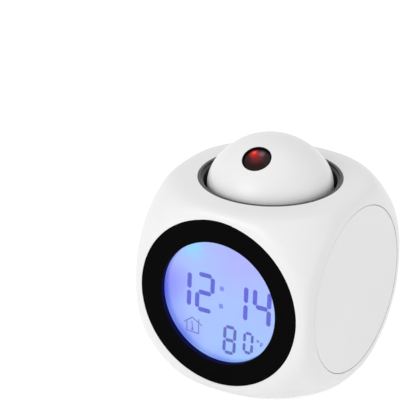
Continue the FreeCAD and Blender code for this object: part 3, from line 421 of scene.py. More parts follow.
def patched(tree, colour, patches):
    """A colour with soft patches on it, each with its place and reach in mm and its own colour."""
    for point, reach_mm, patch in patches:
        colour = blend_colour(tree, near_point(tree, point, reach_mm), colour, patch)
    return colour


# Each patch: the place of its middle in mm across and up from the middle of the display, its reach, its colour.
FILM_AT = -36.6            # where the film lies along Y, in mm
FILM_COLOUR = rgb(158, 186, 254)
FILM_PATCHES = [
    ("right_violet", (9.0, 21.0), 24.0, rgb(166, 171, 254)),
    ("left_violet", (-22.0, 4.0), 14.0, rgb(150, 158, 254)),
    ("left_edge", (-35.0, -3.0), 24.0, rgb(66, 80, 240)),
    ("low_cyan", (8.0, -20.0), 22.0, rgb(150, 190, 255)),
    ("low_left_blue", (-24.0, -24.0), 21.0, rgb(92, 104, 240)),
    ("low_rim", (0.0, -33.0), 14.0, rgb(96, 116, 244)),
    ("lamp_cyan", (-13.5, 20.0), 8.0, rgb(132, 208, 250)),
]


def lit_film():
    tree, shader = new_finish("display_film", {"Emission Strength": 1.0, "Specular IOR Level": 0.3,
                                               "Base Color": rgb(18, 22, 34)})
    colour = patched(tree, FILM_COLOUR, [((across, FILM_AT, MIDDLE + up), reach_mm, patch)
                                         for _, (across, up), reach_mm, patch in FILM_PATCHES])
    cloud = spread(tree, noise(tree, 160.0, 3.0), 0.3, 0.7)
    darker = blend_colour(tree, 0.04, colour, (0, 0, 0, 1))
    feed(tree, shader, {"Emission Color": blend_colour(tree, cloud, darker, colour),
                        "Roughness": spread(tree, cloud, 0.0, 1.0, 0.32, 0.4)})


def lit_mark(name, colour):
    """A dark mark on the display: the film behind it still shines through a little."""
    tree, shader = new_finish(name, {"Emission Strength": 1.0, "Specular IOR Level": 0.2, "Roughness": 0.4,
                                     "Base Color": rgb(12, 14, 26)})
    uneven = spread(tree, noise(tree, 500.0, 3.0), 0.3, 0.7)
    feed(tree, shader, {"Emission Color": blend_colour(tree, uneven, dimmed(colour, 0.86), colour)})


lit_film()
lit_mark("mark_ink", rgb(56, 64, 214))
lit_mark("small_ink", rgb(62, 74, 190))
lit_mark("faint_ink", rgb(106, 124, 236))
lit_mark("thin_ink", rgb(84, 96, 196))

# %% The black ring, with the display's dark blue glow painted on its inner wall
RING_BORE_R = 25.7         # what lies further in than this is the inner wall, in mm
BORE_EDGE = 0.1            # over which its colour fades out, in mm


def black_ring():
    tree, shader = new_finish("ring_black", {"Specular IOR Level": 0.02})
    place = step(tree, "ShaderNodeTexCoord")["Object"]
    offset = vectors(tree, "MULTIPLY_ADD", place, (1, 0, 1), (0, 0, -MIDDLE * MM))[0]
    from_axis = vectors(tree, "LENGTH", offset)[1]
    # Painted light: the display's dark blue glow is painted on the ring's inner wall, and the rest of the ring
    # is black.
    painted_glow_on_wall = spread(tree, from_axis, (RING_BORE_R + BORE_EDGE) * MM, RING_BORE_R * MM)
    ink = blend_colour(tree, painted_glow_on_wall, rgb(4, 4, 4), rgb(20, 22, 82))
    base = use(tree, SKIN, Colour=ink, Drift=0.1, Roughness=0.5, Smudge=0.12)
    feed(tree, shader, {"Base Color": base["Colour"], "Roughness": base["Roughness"],
                        "Normal": bump(tree, base["Height"], 0.001)})


black_ring()

# %% Window, lenses and lamp
def clear(name, colour, ior, roughness, smudge):
    """Clear moulded plastic or glass, with the film of finger grease that every window has."""
    tree, shader = new_finish(name, {"Transmission Weight": 1.0, "IOR": ior, "Metallic": 0.0,
                                     "Base Color": colour})
    grease = spread(tree, noise(tree, 55.0, 5.0, rough=0.6), 0.5, 0.75, 0.0, smudge)
    rough = sums(tree, "ADD", grease, use(tree, HAIRLINES, Amount=smudge * 0.5)["Mask"])
    feed(tree, shader, {"Roughness": spread(tree, rough, 0.0, 1.0, roughness, 1.0)})
    return tree, shader


clear("clear_window", rgb(250, 252, 255), 1.49, 0.0, 0.05)
clear("display_glass", rgb(232, 240, 244), 1.5, 0.03, 0.05)
clear("lens_clear", rgb(250, 250, 252), 1.52, 0.0, 0.02)


# Each patch of painted glow on the lens: place in mm, reach, colour.
LENS_GLOWS = [
    ((1.0, -13.2, 93.6), 4.6, rgb(112, 30, 30)),
    ((-0.7, -12.0, 94.4), 3.0, rgb(214, 16, 14)),
    ((-1.0, -11.4, 94.7), 1.4, rgb(250, 84, 74)),
    ((2.2, -11.2, 94.6), 2.2, rgb(122, 84, 100)),
]
# Dark red coated glass, which reflects little. The glow of the lamp behind it is painted on the lens in soft
# patches, faint all over and brightest at its upper left.
tree, shader = clear("lens_red", rgb(60, 8, 9), 1.24, 0.04, 0.04)
feed(tree, shader, {"Emission Strength": 1.0, "Emission Color": patched(tree, rgb(26, 8, 9), LENS_GLOWS)})


def lamp_body(name, colour, strength):
    """The red projector lamp: a tinted body that glows."""
    tree, shader = new_finish(name, {"Emission Strength": strength, "Roughness": 0.2})
    heat = spread(tree, noise(tree, 700.0), 0.3, 0.7)
    glow = blend_colour(tree, heat, colour, dimmed(colour, 1.5))
    feed(tree, shader, {"Emission Color": glow, "Base Color": glow})


lamp_body("led_red", rgb(214, 24, 22), 2.5)

slot_of = {row["node"]: row["material_slot"] for row in frame["record"]["subparts"]}
for name, piece in frame["nodes"].items():
    piece.data.materials.clear()
    piece.data.materials.append(FINISHES[slot_of[name]])
print("finishes:", len(FINISHES), "for", len(slot_of), "nodes")

# %% [markdown]
# ## Growing pieces from rules
# Geometry Nodes make the pieces whose shape follows a rule. Two trees do most of the work: one turns the
# outline of a section about an axis, and one lays a flat bar along every edge that it is given. Pushing points
# by hand would do as well, but a tree keeps each size as a number that can be changed later. The result is
# kept as a plain mesh, with its doubles merged and its normals pointing out. The tree's modifier is removed.

# %% Helpers for geometry trees
def new_tree(name, takes):
    """An empty geometry tree. takes is {name: default number}; every tree also takes a crease and a finish."""
    tree = bpy.data.node_groups.new(name, "GeometryNodeTree")
    face = tree.interface
    for way in ("INPUT", "OUTPUT"):
        face.new_socket("Geometry", in_out=way, socket_type="NodeSocketGeometry")
    for label, value in {**takes, "Crease": 0.7}.items():
        kind = "NodeSocketInt" if isinstance(value, int) else "NodeSocketFloat"
        face.new_socket(label, in_out="INPUT", socket_type=kind).default_value = value
    face.new_socket("Finish", in_out="INPUT", socket_type="NodeSocketMaterial")
    return tree, tree.nodes.new("NodeGroupInput").outputs, tree.nodes.new("NodeGroupOutput").inputs


def finish_tree(tree, shape, takes, gives):
    """End and return a tree: smooth faces with creases where they meet at an angle, plain mesh, material."""
    bend = step(tree, "GeometryNodeInputMeshEdgeAngle")["Unsigned Angle"]
    sharp = step(tree, "FunctionNodeCompare", {"A": bend, "B": takes["Crease"]}, operation="GREATER_THAN")[0]
    creased = step(tree, "GeometryNodeSetShadeSmooth",
                   {"Geometry": shape, "Selection": sharp, "Shade Smooth": False}, domain="EDGE")
    plain = step(tree, "GeometryNodeRealizeInstances", {"Geometry": creased["Geometry"]})[0]
    painted = step(tree, "GeometryNodeSetMaterial", {"Geometry": plain, "Material": takes["Finish"]})
    tree.links.new(painted["Geometry"], gives["Geometry"])
    return tree


# %% Tree that turns an outline about an axis
def make_turned_piece():
    """Rows of a grid follow the points of the outline, and its columns go round the axis."""
    tree, takes, gives = new_tree("turned_piece", {"Segments": 144})
    points = step(tree, "GeometryNodeAttributeDomainSize", {"Geometry": takes["Geometry"]},
                  component="MESH")["Point Count"]
    columns = sums(tree, "ADD", takes["Segments"], 1.0)
    grid = step(tree, "GeometryNodeMeshGrid",
                {"Size X": 1.0, "Size Y": 1.0, "Vertices X": columns, "Vertices Y": points})["Mesh"]
    index = step(tree, "GeometryNodeInputIndex")["Index"]
    share = sums(tree, "DIVIDE", index, points)
    column = sums(tree, "FLOOR", share)
    row = sums(tree, "MODULO", index, points)
    place = step(tree, "GeometryNodeInputPosition")["Position"]
    sample = step(tree, "GeometryNodeSampleIndex",
                  {"Geometry": takes["Geometry"], "Value": place, "Index": row},
                  data_type="FLOAT_VECTOR", domain="POINT")["Value"]
    angle = product(tree, sums(tree, "DIVIDE", column, takes["Segments"]), math.tau)
    turned = step(tree, "ShaderNodeVectorRotate", {"Vector": sample, "Angle": angle},
                  rotation_type="Z_AXIS")["Vector"]
    wrapped = step(tree, "GeometryNodeSetPosition", {"Geometry": grid, "Position": turned})["Geometry"]
    joined = step(tree, "GeometryNodeMergeByDistance", {"Geometry": wrapped, "Distance": 0.0005})["Geometry"]
    return finish_tree(tree, joined, takes, gives)


# %% Tree that lays a flat bar along every edge
def make_bar_marks():
    """Bars of even width with tips at their ends. Tip 1 makes them pointed and 0 square."""
    tree, takes, gives = new_tree("bar_marks", {"Stroke": 1.0, "Gap": 0.1, "Tip": 1.0, "Thickness": 0.02})
    ends = step(tree, "GeometryNodeInputMeshEdgeVertices")
    span = vectors(tree, "SUBTRACT", ends["Position 2"], ends["Position 1"])[0]
    kept = step(tree, "GeometryNodeStoreNamedAttribute",
                {"Geometry": takes["Geometry"], "Name": "span", "Value": span},
                data_type="FLOAT_VECTOR", domain="EDGE")["Geometry"]
    spots = step(tree, "GeometryNodeMeshToPoints", {"Mesh": kept}, mode="EDGES")["Points"]

    bar = step(tree, "GeometryNodeMeshCircle", {"Vertices": 6, "Radius": 1.0}, fill_type="NGON")["Mesh"]
    corner = step(tree, "ShaderNodeSeparateXYZ", {0: step(tree, "GeometryNodeInputPosition")["Position"]})
    side = sums(tree, "SIGN", corner["X"])
    across = sums(tree, "ROUND", corner["Y"])
    sided = step(tree, "GeometryNodeStoreNamedAttribute", {"Geometry": bar, "Name": "side", "Value": side},
                 data_type="FLOAT", domain="POINT")["Geometry"]
    half = product(tree, takes["Stroke"], 0.5)
    width = product(tree, across, half)
    along = product(tree, sums(tree, "ABSOLUTE", across), half, takes["Tip"], side, -1.0)
    drawn = step(tree, "ShaderNodeCombineXYZ", {"X": along, "Y": width})["Vector"]
    shaped = step(tree, "GeometryNodeSetPosition", {"Geometry": sided, "Position": drawn})["Geometry"]

    kept_span = step(tree, "GeometryNodeInputNamedAttribute", {"Name": "span"}, data_type="FLOAT_VECTOR")
    heading = step(tree, "FunctionNodeAlignRotationToVector", {"Vector": kept_span["Attribute"]}, axis="X",
                   pivot_axis="Z")["Rotation"]
    bars = step(tree, "GeometryNodeInstanceOnPoints",
                {"Points": spots, "Instance": shaped, "Rotation": heading})["Instances"]
    flat = step(tree, "GeometryNodeRealizeInstances", {"Geometry": bars})["Geometry"]
    length = vectors(tree, "LENGTH", kept_span["Attribute"])[1]
    unit = vectors(tree, "NORMALIZE", kept_span["Attribute"])[0]
    less = sums(tree, "SUBTRACT", product(tree, length, 0.5), takes["Gap"])
    kept_side = step(tree, "GeometryNodeInputNamedAttribute", {"Name": "side"}, data_type="FLOAT")["Attribute"]
    signed = product(tree, less, kept_side)
    push = step(tree, "ShaderNodeVectorMath", {0: unit, "Scale": signed}, operation="SCALE")[0]
    long = step(tree, "GeometryNodeSetPosition", {"Geometry": flat, "Offset": push})["Geometry"]
    raised = step(tree, "GeometryNodeExtrudeMesh",
                  {"Mesh": long, "Offset Scale": takes["Thickness"], "Individual": True}, mode="FACES")["Mesh"]
    return finish_tree(tree, raised, takes, gives)


TURNED = make_turned_piece()
BARS = make_bar_marks()


# %% Growing, easing and placing
def face_frame(across, up, outwards, origin):
    """Matrix from a face's own frame in mm (x and y in the face, z outwards) to metres in the scene."""
    rotation = Matrix((across, up, outwards)).transposed().to_4x4()
    return Matrix.Translation(Vector(origin) * MM) @ rotation @ Matrix.Scale(MM, 4)


ON_FRONT = face_frame((1, 0, 0), (0, 0, 1), (0, -1, 0), (0, -HALF, MIDDLE))
ON_REAR = face_frame((-1, 0, 0), (0, 0, 1), (0, 1, 0), (0, HALF, MIDDLE))
ON_BASE = face_frame((1, 0, 0), (0, -1, 0), (0, 0, -1), (0, 0, MIDDLE - HALF))
FROM_MIDDLE = face_frame((1, 0, 0), (0, 1, 0), (0, 0, 1), (0, 0, MIDDLE))


def add_piece(name, mesh, body, node=None):
    """Put a finished mesh in the scene as a piece that rides on a body and may stand in for a node."""
    piece = new_object(name, mesh)
    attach(piece, body)
    if node:
        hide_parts(node)
    print(name, len(mesh.polygons), "faces on", body)
    return piece


def tidy_mesh(mesh, matrix=None):
    """Merge doubles, turn every face outwards and move the mesh to its place."""
    tidy = bmesh.new()
    tidy.from_mesh(mesh)
    bmesh.ops.remove_doubles(tidy, verts=tidy.verts, dist=1e-5)
    bmesh.ops.recalc_face_normals(tidy, faces=tidy.faces)
    if matrix is not None:
        tidy.transform(matrix)
    tidy.to_mesh(mesh)
    tidy.free()
    return mesh


def baked(name, host, modifier):
    """Plain mesh of a host with its modifier at work. The modifier and the host are removed."""
    graph = bpy.context.evaluated_depsgraph_get()
    mesh = bpy.data.meshes.new_from_object(host.evaluated_get(graph), depsgraph=graph)
    host.modifiers.remove(modifier)
    bpy.data.objects.remove(host)
    mesh.name = name
    return mesh


def grow_mesh(name, tree, source, values, matrix):
    """Run a tree on a mesh in mm and keep the result as a plain mesh at its place in the scene."""
    host = new_object(name + "_host", source)
    modifier = host.modifiers.new("grow", "NODES")
    modifier.node_group = tree
    for item in tree.interface.items_tree:
        if item.in_out == "INPUT" and item.name in values:
            modifier[item.identifier] = values[item.name]
    host.update_tag()
    mesh = baked(name, host, modifier)
    bpy.data.meshes.remove(source)
    return tidy_mesh(mesh, matrix)


def grow(name, tree, points, edges, values, matrix):
    """Run a tree on points in mm, joined by edges where it reads them."""
    source = bpy.data.meshes.new(name + "_source")
    source.from_pydata([tuple(p) for p in points], edges, [])
    return grow_mesh(name, tree, source, values, matrix)


def eased(corners, steps=5):
    """Closed outline from corners (radius, height, easing): each corner becomes an arc of that radius."""
    points = []
    for i, (r, z, ease) in enumerate(corners):
        here = Vector((r, z))
        before = Vector(corners[i - 1][:2]) - here
        after = Vector(corners[(i + 1) % len(corners)][:2]) - here
        if not ease:
            points.append(here)
            continue
        half = before.angle(after) / 2
        cut = ease / math.tan(half)
        first, last = here + before.normalized() * cut, here + after.normalized() * cut
        middle = here + (before.normalized() + after.normalized()).normalized() * (ease / math.sin(half))
        start = first - middle
        sweep = start.angle_signed(last - middle)
        for k in range(steps + 1):
            turn = Matrix.Rotation(-sweep * k / steps, 2)
            points.append(middle + turn @ start)
    points.append(points[0])
    return [(p[0], 0.0, p[1]) for p in points]


def add_turned(name, corners, finish, matrix, node=None, segments=144):
    """Turn an eased outline about an axis, and add it as a piece of the case."""
    values = {"Segments": segments, "Crease": 0.9, "Finish": FINISHES[finish]}
    add_piece(name, grow(name, TURNED, eased(corners), [], values, matrix), "case", node)


print("frames of the faces and", len(TURNED.nodes) + len(BARS.nodes), "nodes in two trees")

# %% [markdown]
# ## The lit display
# The marks on the display are generic: plain seven-segment digits, a small house, a degree ring and a tiny
# segment-style unit letter. Each mark is a list of edges in millimetres from the middle of the display, and the
# bar tree gives them their width. A picture on the film could show them too, but bars stay sharp from near by.
# They lie a hair in front of the film, and the window stands before them.

# %% Digits and signs
MARKS_AT = -3.38           # depth of the marks behind the face, in mm, just in front of the film
MARK_THICKNESS = 0.03
ROWS = (9.2, 1.5, -6.05)   # heights of the three rows of the large digits
SEGMENTS_OF = {"0": "abcdef", "1": "bc", "2": "abged", "4": "fgbc", "8": "abcdefg"}


def digit_edges(digit, left, right, rows, lean):
    """Centre lines of the segments of a digit: left and right are where its uprights stand."""
    top, middle, low = rows

    def at(x, y):
        return (x + lean * (y - middle), y)
    ends = {
        "a": (at(left, top), at(right, top)), "b": (at(right, middle), at(right, top)),
        "c": (at(right, low), at(right, middle)), "d": (at(left, low), at(right, low)),
        "e": (at(left, low), at(left, middle)), "f": (at(left, middle), at(left, top)),
        "g": (at(left, middle), at(right, middle))}
    return [ends[letter] for letter in SEGMENTS_OF[digit]]


def path_edges(points, closed=False):
    pairs = list(zip(points, points[1:]))
    return pairs + [(points[-1], points[0])] if closed else pairs


def round_edges(x, y, radius, count=12):
    ring = [(x + radius * math.cos(math.tau * i / count), y + radius * math.sin(math.tau * i / count))
            for i in range(count)]
    return path_edges(ring, closed=True)


BIG_LEAN = 0.03
SMALL_LEAN = 0.05
TIME = [("1", -21.3, -14.7), ("2", -10.95, -4.15), ("1", 4.4, 11.0), ("4", 15.0, 21.4)]
time_edges = [edge for digit, left, right in TIME for edge in digit_edges(digit, left, right, ROWS, BIG_LEAN)]
eight_edges = digit_edges("8", 1.6, 6.15, (-10.45, -16.2, -21.7), SMALL_LEAN)
nought_edges = digit_edges("0", 10.6, 14.05, (-10.95, -15.2, -19.4), SMALL_LEAN)
DOT_HALF = 0.85            # half the width of a dot of the colon, in mm
colon_edges = [((x - DOT_HALF, y), (x + DOT_HALF, y)) for x, y in ((0.18, 5.3), (-0.16, -2.35))]
house_edges = (
    path_edges([(-16.83, -13.25), (-13.23, -10.58), (-8.81, -13.22)])
    + path_edges([(-10.27, -10.84), (-10.26, -12.18)])
    + path_edges([(-15.72, -13.0), (-15.80, -16.72), (-10.23, -17.05), (-10.35, -13.0)])
    + path_edges([(-13.42, -12.35), (-13.10, -15.23)]))
unit_edges = (round_edges(16.7, -13.2, 0.42)
              + path_edges([(18.04, -15.3), (18.0, -13.7), (19.1, -13.75)])
              + path_edges([(18.02, -14.45), (18.85, -14.5)]))
bulb_edges = [((-13.6, -15.73), (-12.78, -15.73))]

# Each mark: name, edges, stroke, gap, tip, ink.
MARKS = [
    ("time_digits", time_edges, 1.95, 0.36, 0.75, "mark_ink"),
    ("eight_digit", eight_edges, 1.4, 0.3, 0.75, "small_ink"),
    ("nought_digit", nought_edges, 1.25, 0.28, 0.75, "small_ink"),
    ("colon_dots", colon_edges, 1.9, -0.08, 0.1, "faint_ink"),
    ("house_sign", house_edges, 0.46, -0.2, 0.3, "thin_ink"),
    ("house_bulb", bulb_edges, 1.1, -0.15, 0.6, "thin_ink"),
    ("unit_sign", unit_edges, 0.42, -0.12, 0.3, "thin_ink"),
]
for name, edges, stroke, gap, tip, ink in MARKS:
    points = [(x, y, MARKS_AT) for edge in edges for x, y in edge]
    pairs = [(2 * i, 2 * i + 1) for i in range(len(edges))]
    sizes = {"Stroke": stroke, "Gap": gap, "Tip": tip, "Thickness": MARK_THICKNESS,
             "Finish": FINISHES[ink]}
    add_piece(name, grow(name, BARS, points, pairs, sizes, ON_FRONT), "case")

# %% The window before the film
WINDOW_R = 27.5            # in mm, as are the depths of its two faces
PANE_BACK, PANE_FRONT = -3.25, -2.2
add_turned("window_pane", [(0, PANE_BACK, 0), (WINDOW_R, PANE_BACK, 0), (WINDOW_R, PANE_FRONT, 0.15),
                           (0, PANE_FRONT, 0)], "clear_window", ON_FRONT, "front_window")

# %% [markdown]
# ## Lens and projector
# The lens bulges out of the dome almost up to its skin. It is dark red glass, with the light of the lamp inside
# painted on it, brightest at its upper left. A slice of a ball would come close, but only a turned outline also
# gives it its flat back and the short rim that sits in the barrel.

# %% The lens
LENS_TILT = math.radians(31.0)
DOME_TURN = math.radians(5.6)
CROWN_R = 27.0             # radius of the dome's crown, in mm
lens_axis = Vector((math.sin(LENS_TILT) * math.sin(DOME_TURN), -math.sin(LENS_TILT) * math.cos(DOME_TURN),
                    math.cos(LENS_TILT)))
lens_across = Vector((math.cos(DOME_TURN), math.sin(DOME_TURN), 0))
CROWN_CENTRE = (0, 0, 70.54)
LENS_BACK = CROWN_R - 3.5
ON_LENS = face_frame(lens_across, lens_axis.cross(lens_across), lens_axis, CROWN_CENTRE)

LENS_R = 5.1
LENS_BULGE = 0.8
LENS_RECESS = 0.35         # how far the lens stays behind the skin of the dome, in mm
lens_apex = CROWN_R - LENS_RECESS
lens_ball_r = (LENS_R ** 2 + LENS_BULGE ** 2) / (2 * LENS_BULGE)
LENS_CHAMFER = 0.1
ARC_STEPS = 16
lens_outline = [(0, 0, LENS_BACK), (LENS_R - LENS_CHAMFER, 0, LENS_BACK), (LENS_R, 0, LENS_BACK + LENS_CHAMFER)]
widest = math.asin(LENS_R / lens_ball_r)
for i in range(ARC_STEPS + 1):
    angle = widest * (1 - i / ARC_STEPS)
    lens_outline.append((lens_ball_r * math.sin(angle), 0, lens_apex - lens_ball_r * (1 - math.cos(angle))))
lens = grow("front_lens", TURNED, lens_outline, [],
            {"Segments": 96, "Crease": 0.9, "Finish": FINISHES["lens_red"]}, ON_LENS)
add_piece("front_lens", lens, "dome_head", "projector_lens")

# %% [markdown]
# ## Eased mouldings
# No moulding leaves its tool with knife edges. These pieces start from a merged copy of their node's mesh, so
# that each hole and lug stays where it is, and get every sharp edge rounded by a small radius. Normals weighted
# by face size keep the flats flat.

# %% Round the sharp edges of copies
EASE_ANGLE = math.radians(28)


def node_copy(node):
    """Bmesh of a node with its loose triangles merged, in metres in the scene."""
    source = frame["nodes"][node]
    merged = bmesh.new()
    merged.from_mesh(source.data)
    merged.transform(source.matrix_world)
    bmesh.ops.remove_doubles(merged, verts=merged.verts, dist=1e-6)
    return merged


def ease_edges(shape, width, steps=2):
    """Round every edge where two faces meet at more than a small angle."""
    bmesh.ops.dissolve_limit(shape, angle_limit=math.radians(0.05), verts=shape.verts, edges=shape.edges)
    sharp = [edge for edge in shape.edges
             if len(edge.link_faces) == 2 and edge.calc_face_angle(0) > EASE_ANGLE]
    bmesh.ops.bevel(shape, geom=sharp, offset=width, offset_type="OFFSET", segments=steps, profile=0.5,
                    affect="EDGES", clamp_overlap=True, loop_slide=True)
    bmesh.ops.recalc_face_normals(shape, faces=shape.faces)


def mesh_of(name, shape):
    """Mesh of a bmesh, which is freed."""
    mesh = bpy.data.meshes.new(name)
    shape.to_mesh(mesh)
    shape.free()
    return mesh


def weighted(name, shape, finish):
    """Plain mesh of a bmesh, smooth, with normals weighted by the size of the faces."""
    mesh = mesh_of(name, shape)
    mesh.shade_smooth()
    mesh.materials.append(FINISHES[finish])
    host = new_object(name + "_host", mesh)
    modifier = host.modifiers.new("weigh", "WEIGHTED_NORMAL")
    modifier.keep_sharp = True
    return baked(name, host, modifier)


# Each piece: node, body, width of the rounding in mm.
EASED = [
    ("bezel_ring", "case", 0.15), ("side_cap_right", "case", 0.34), ("side_cap_left", "case", 0.34),
    ("rear_cover", "case", 0.06), ("base_plate", "case", 0.08), ("battery_door", "battery_door", 0.12),
    ("socket_ring", "case", 0.14), ("projector_barrel", "dome_head", 0.1), ("dome_shell", "dome_head", 0.1),
    ("rubber_feet", "case", 0.05), ("mode_button", "mode_key", 0.05), ("set_button", "set_key", 0.05),
    ("up_button", "up_key", 0.05), ("down_button", "down_key", 0.05),
]
CAP_RIM = 33.8             # what lies further out than this on a cap is its rim, in mm
CAP_BACK = 38.5            # how far from the middle the rim starts, in mm
CAP_GROWTH = 0.12          # the caps sit closer in the photograph than their clearance says, in mm


def grow_rim(shape):
    """Move the rim of a side cap outwards, towards the edge of its opening."""
    for vert in shape.verts:
        from_axis = Vector((0.0, vert.co.y, vert.co.z - MIDDLE * MM))
        if from_axis.length > CAP_RIM * MM and abs(vert.co.x) > CAP_BACK * MM:
            vert.co += from_axis.normalized() * CAP_GROWTH * MM


for node, body, width in EASED:
    shape = node_copy(node)
    if node.startswith("side_cap"):
        grow_rim(shape)
    ease_edges(shape, width * MM)
    name, slot = node + "_eased", slot_of[node]
    add_piece(name, weighted(name, shape, slot), body, node)

# %% [markdown]
# ## The lip of the well and the return spring
# The well ends in a narrow flat lip, seen as a thin dark line in front of the dome. It is one more turned ring.
# Under the dome a coil spring gets shorter as the dome is pressed. Here it is a merged copy of its node's mesh
# with weighted normals, and it has a mesh of its own.

# %% The flat lip
LIP_OUT, LIP_IN = 28.76, 27.6      # radii of the lip, in mm
LIP_TOP, LIP_LOW = 39.38, 38.35    # heights above the middle of the body, in mm
add_turned("well_lip", [(LIP_OUT, LIP_LOW, 0), (LIP_OUT, LIP_TOP, 0.05), (LIP_IN, LIP_TOP, 0.12),
                        (LIP_IN, LIP_LOW, 0)], "well_grey", FROM_MIDDLE)

# %% The return spring
coil = add_piece("return_spring_coil", weighted("return_spring_coil", node_copy("return_spring"), "steel"),
                 "case", "return_spring")
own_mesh(coil)

# %% [markdown]
# ## The soft form of the case
# The photographed case has no line where its corners meet its faces: it is a cube and a ball that melt into
# each other. A rule gives that form. For a direction from the middle, the reach of each face and of the ball
# are added as high powers, and the high root of the sum is a soft minimum. The tree wraps a fine cube on that
# form and keeps what it shares with the case, whose own skin has first been pushed out past it. Every hole,
# seat and screw boss of the case stays as it is.

# %% Tree for the soft form
def make_soft_case():
    tree, takes, gives = new_tree("soft_case", {
        "Half": 40.3, "Above": 39.3, "Below": 40.3, "Ball": 56.0, "Sharpness": 30.0, "Divisions": 80})
    block = step(tree, "GeometryNodeMeshCube", {
        "Size": (2, 2, 2), "Vertices X": takes["Divisions"], "Vertices Y": takes["Divisions"],
        "Vertices Z": takes["Divisions"]})["Mesh"]
    place = step(tree, "GeometryNodeInputPosition")["Position"]
    heading = vectors(tree, "NORMALIZE", place)[0]
    parts = step(tree, "ShaderNodeSeparateXYZ", {0: heading})
    up = step(tree, "FunctionNodeCompare", {"A": parts["Z"], "B": 0.0}, operation="GREATER_THAN")["Result"]
    height = step(tree, "GeometryNodeSwitch",
                  {"Switch": up, "False": takes["Below"], "True": takes["Above"]}, input_type="FLOAT")["Output"]
    total = 1.0
    for part, reach_to in ((parts["X"], takes["Half"]), (parts["Y"], takes["Half"]), (parts["Z"], height)):
        ratio = sums(tree, "DIVIDE", takes["Ball"], reach_to)
        scaled = product(tree, sums(tree, "ABSOLUTE", part), ratio)
        total = sums(tree, "ADD", sums(tree, "POWER", scaled, takes["Sharpness"]), total)
    root = sums(tree, "DIVIDE", -1.0, takes["Sharpness"])
    radius = product(tree, sums(tree, "POWER", total, root), takes["Ball"])
    at = step(tree, "ShaderNodeVectorMath", {0: heading, "Scale": radius}, operation="SCALE")[0]
    form = step(tree, "GeometryNodeSetPosition", {"Geometry": block, "Position": at})["Geometry"]
    shared = tree.nodes.new("GeometryNodeMeshBoolean")
    shared.operation = "INTERSECT"
    tree.links.new(form, shared.inputs[1])
    tree.links.new(takes["Geometry"], shared.inputs[1])
    return finish_tree(tree, shared.outputs["Mesh"], takes, gives)


SOFT_CASE = make_soft_case()

# %% Push the case's own skin out and take the soft form
CASE_TOP = 39.25           # from the middle of the body up to its flat top, in mm
EDGE_ROUND = 5.5
BALL_R = 56.0
PUSH = 1.2                 # how far the skin is pushed out, in mm
ON_SKIN = 0.06             # what lies at most this deep is skin, in mm

case = node_copy("main_shell")
case.transform(Matrix.Scale(1 / MM, 4) @ Matrix.Translation((0, 0, -MIDDLE * MM)))
inner_half = HALF - EDGE_ROUND
pushed = 0
for vertex in case.verts:
    p = vertex.co
    core = Vector((max(-inner_half, min(inner_half, p.x)), max(-inner_half, min(inner_half, p.y)),
                   max(-inner_half, min(CASE_TOP - EDGE_ROUND, p.z))))
    if core.length > BALL_R - EDGE_ROUND:
        core = p.normalized() * (BALL_R - EDGE_ROUND)
    away = p - core
    if away.length > EDGE_ROUND - ON_SKIN:
        vertex.co = p + away.normalized() * PUSH
        pushed += 1
print("skin vertices pushed out:", pushed, "of", len(case.verts))

bmesh.ops.recalc_face_normals(case, faces=case.faces)
soft = grow_mesh("case_shell", SOFT_CASE, mesh_of("pushed_case", case), {"Finish": FINISHES["white_gloss"]},
                 FROM_MIDDLE)
add_piece("case_shell", soft, "case", "main_shell")

# %% [markdown]
# ## Screws and speaker cloth
# The eight case screws are one screw placed round two circles. Whoever put the clock together turned each one
# until it held, so their slots point every way. Turning eight copies by hand could show that too, but random
# turns with a fixed seed take one node. Behind the holes of the rear cover hangs a thin woven cloth.

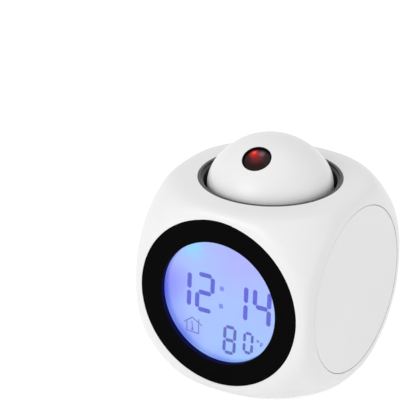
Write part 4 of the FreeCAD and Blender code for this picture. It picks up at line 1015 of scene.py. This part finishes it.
# %% Tree that places copies round a circle
def make_round_copies():
    tree, takes, gives = new_tree("round_copies", {"Count": 4, "Radius": 30.0, "Start": 0.0, "Seed": 7})
    circle = step(tree, "GeometryNodeMeshCircle",
                  {"Vertices": takes["Count"], "Radius": takes["Radius"]})["Mesh"]
    start = step(tree, "ShaderNodeCombineXYZ", {"Z": takes["Start"]})["Vector"]
    placed = step(tree, "GeometryNodeTransform", {"Geometry": circle, "Rotation": start})["Geometry"]
    spots = step(tree, "GeometryNodeMeshToPoints", {"Mesh": placed})["Points"]
    turn = step(tree, "FunctionNodeRandomValue", {0: (0, 0, 0), 1: (0, 0, math.tau), "Seed": takes["Seed"]},
                data_type="FLOAT_VECTOR")
    copies = step(tree, "GeometryNodeInstanceOnPoints",
                  {"Points": spots, "Instance": takes["Geometry"], "Rotation": turn[0]})["Instances"]
    plain = step(tree, "GeometryNodeRealizeInstances", {"Geometry": copies})["Geometry"]
    return finish_tree(tree, plain, takes, gives)


ROUND_COPIES = make_round_copies()

# %% Case screws
SCREW_AT = 30.0            # from the middle of an opening to each screw, in mm
SCREW_REACH = 2.5          # all of a screw lies within this of its axis, in mm
SCREW_EASE = 0.05


def one_screw():
    """The screw of the base that stands on +X, in its own frame in mm, with its edges eased."""
    screw = node_copy("case_screws")
    screw.transform((ON_BASE @ Matrix.Translation((SCREW_AT, 0, 0))).inverted())
    others = [vertex for vertex in screw.verts if Vector(vertex.co[:2]).length > SCREW_REACH]
    bmesh.ops.delete(screw, geom=others, context="VERTS")
    ease_edges(screw, SCREW_EASE)
    return mesh_of("one_screw", screw)


screws = bmesh.new()
for matrix, start, seed in ((ON_REAR, math.radians(45), 3), (ON_BASE, 0.0, 11)):
    ring = grow_mesh("screw_ring", ROUND_COPIES, one_screw(),
                     {"Radius": SCREW_AT, "Start": start, "Seed": seed, "Finish": FINISHES["steel"]}, matrix)
    screws.from_mesh(ring)
screw_mesh = mesh_of("turned_screws", screws)
screw_mesh.materials.append(FINISHES["steel"])
add_piece("turned_screws", screw_mesh, "case", "case_screws")

# %% Speaker cloth
CLOTH_R = 12.5             # in mm, as are the next three values
CLOTH_BACK, CLOTH_FRONT = -1.56, -1.44
SPEAKER_UP = 11.0
add_turned("speaker_cloth", [(0, CLOTH_BACK, 0), (CLOTH_R, CLOTH_BACK, 0.03), (CLOTH_R, CLOTH_FRONT, 0.03),
                             (0, CLOTH_FRONT, 0)],
           "felt", ON_REAR @ Matrix.Translation((0, SPEAKER_UP, 0)), segments=72)

# %% Close the scene
bpy.context.scene.view_settings.view_transform = "Standard"
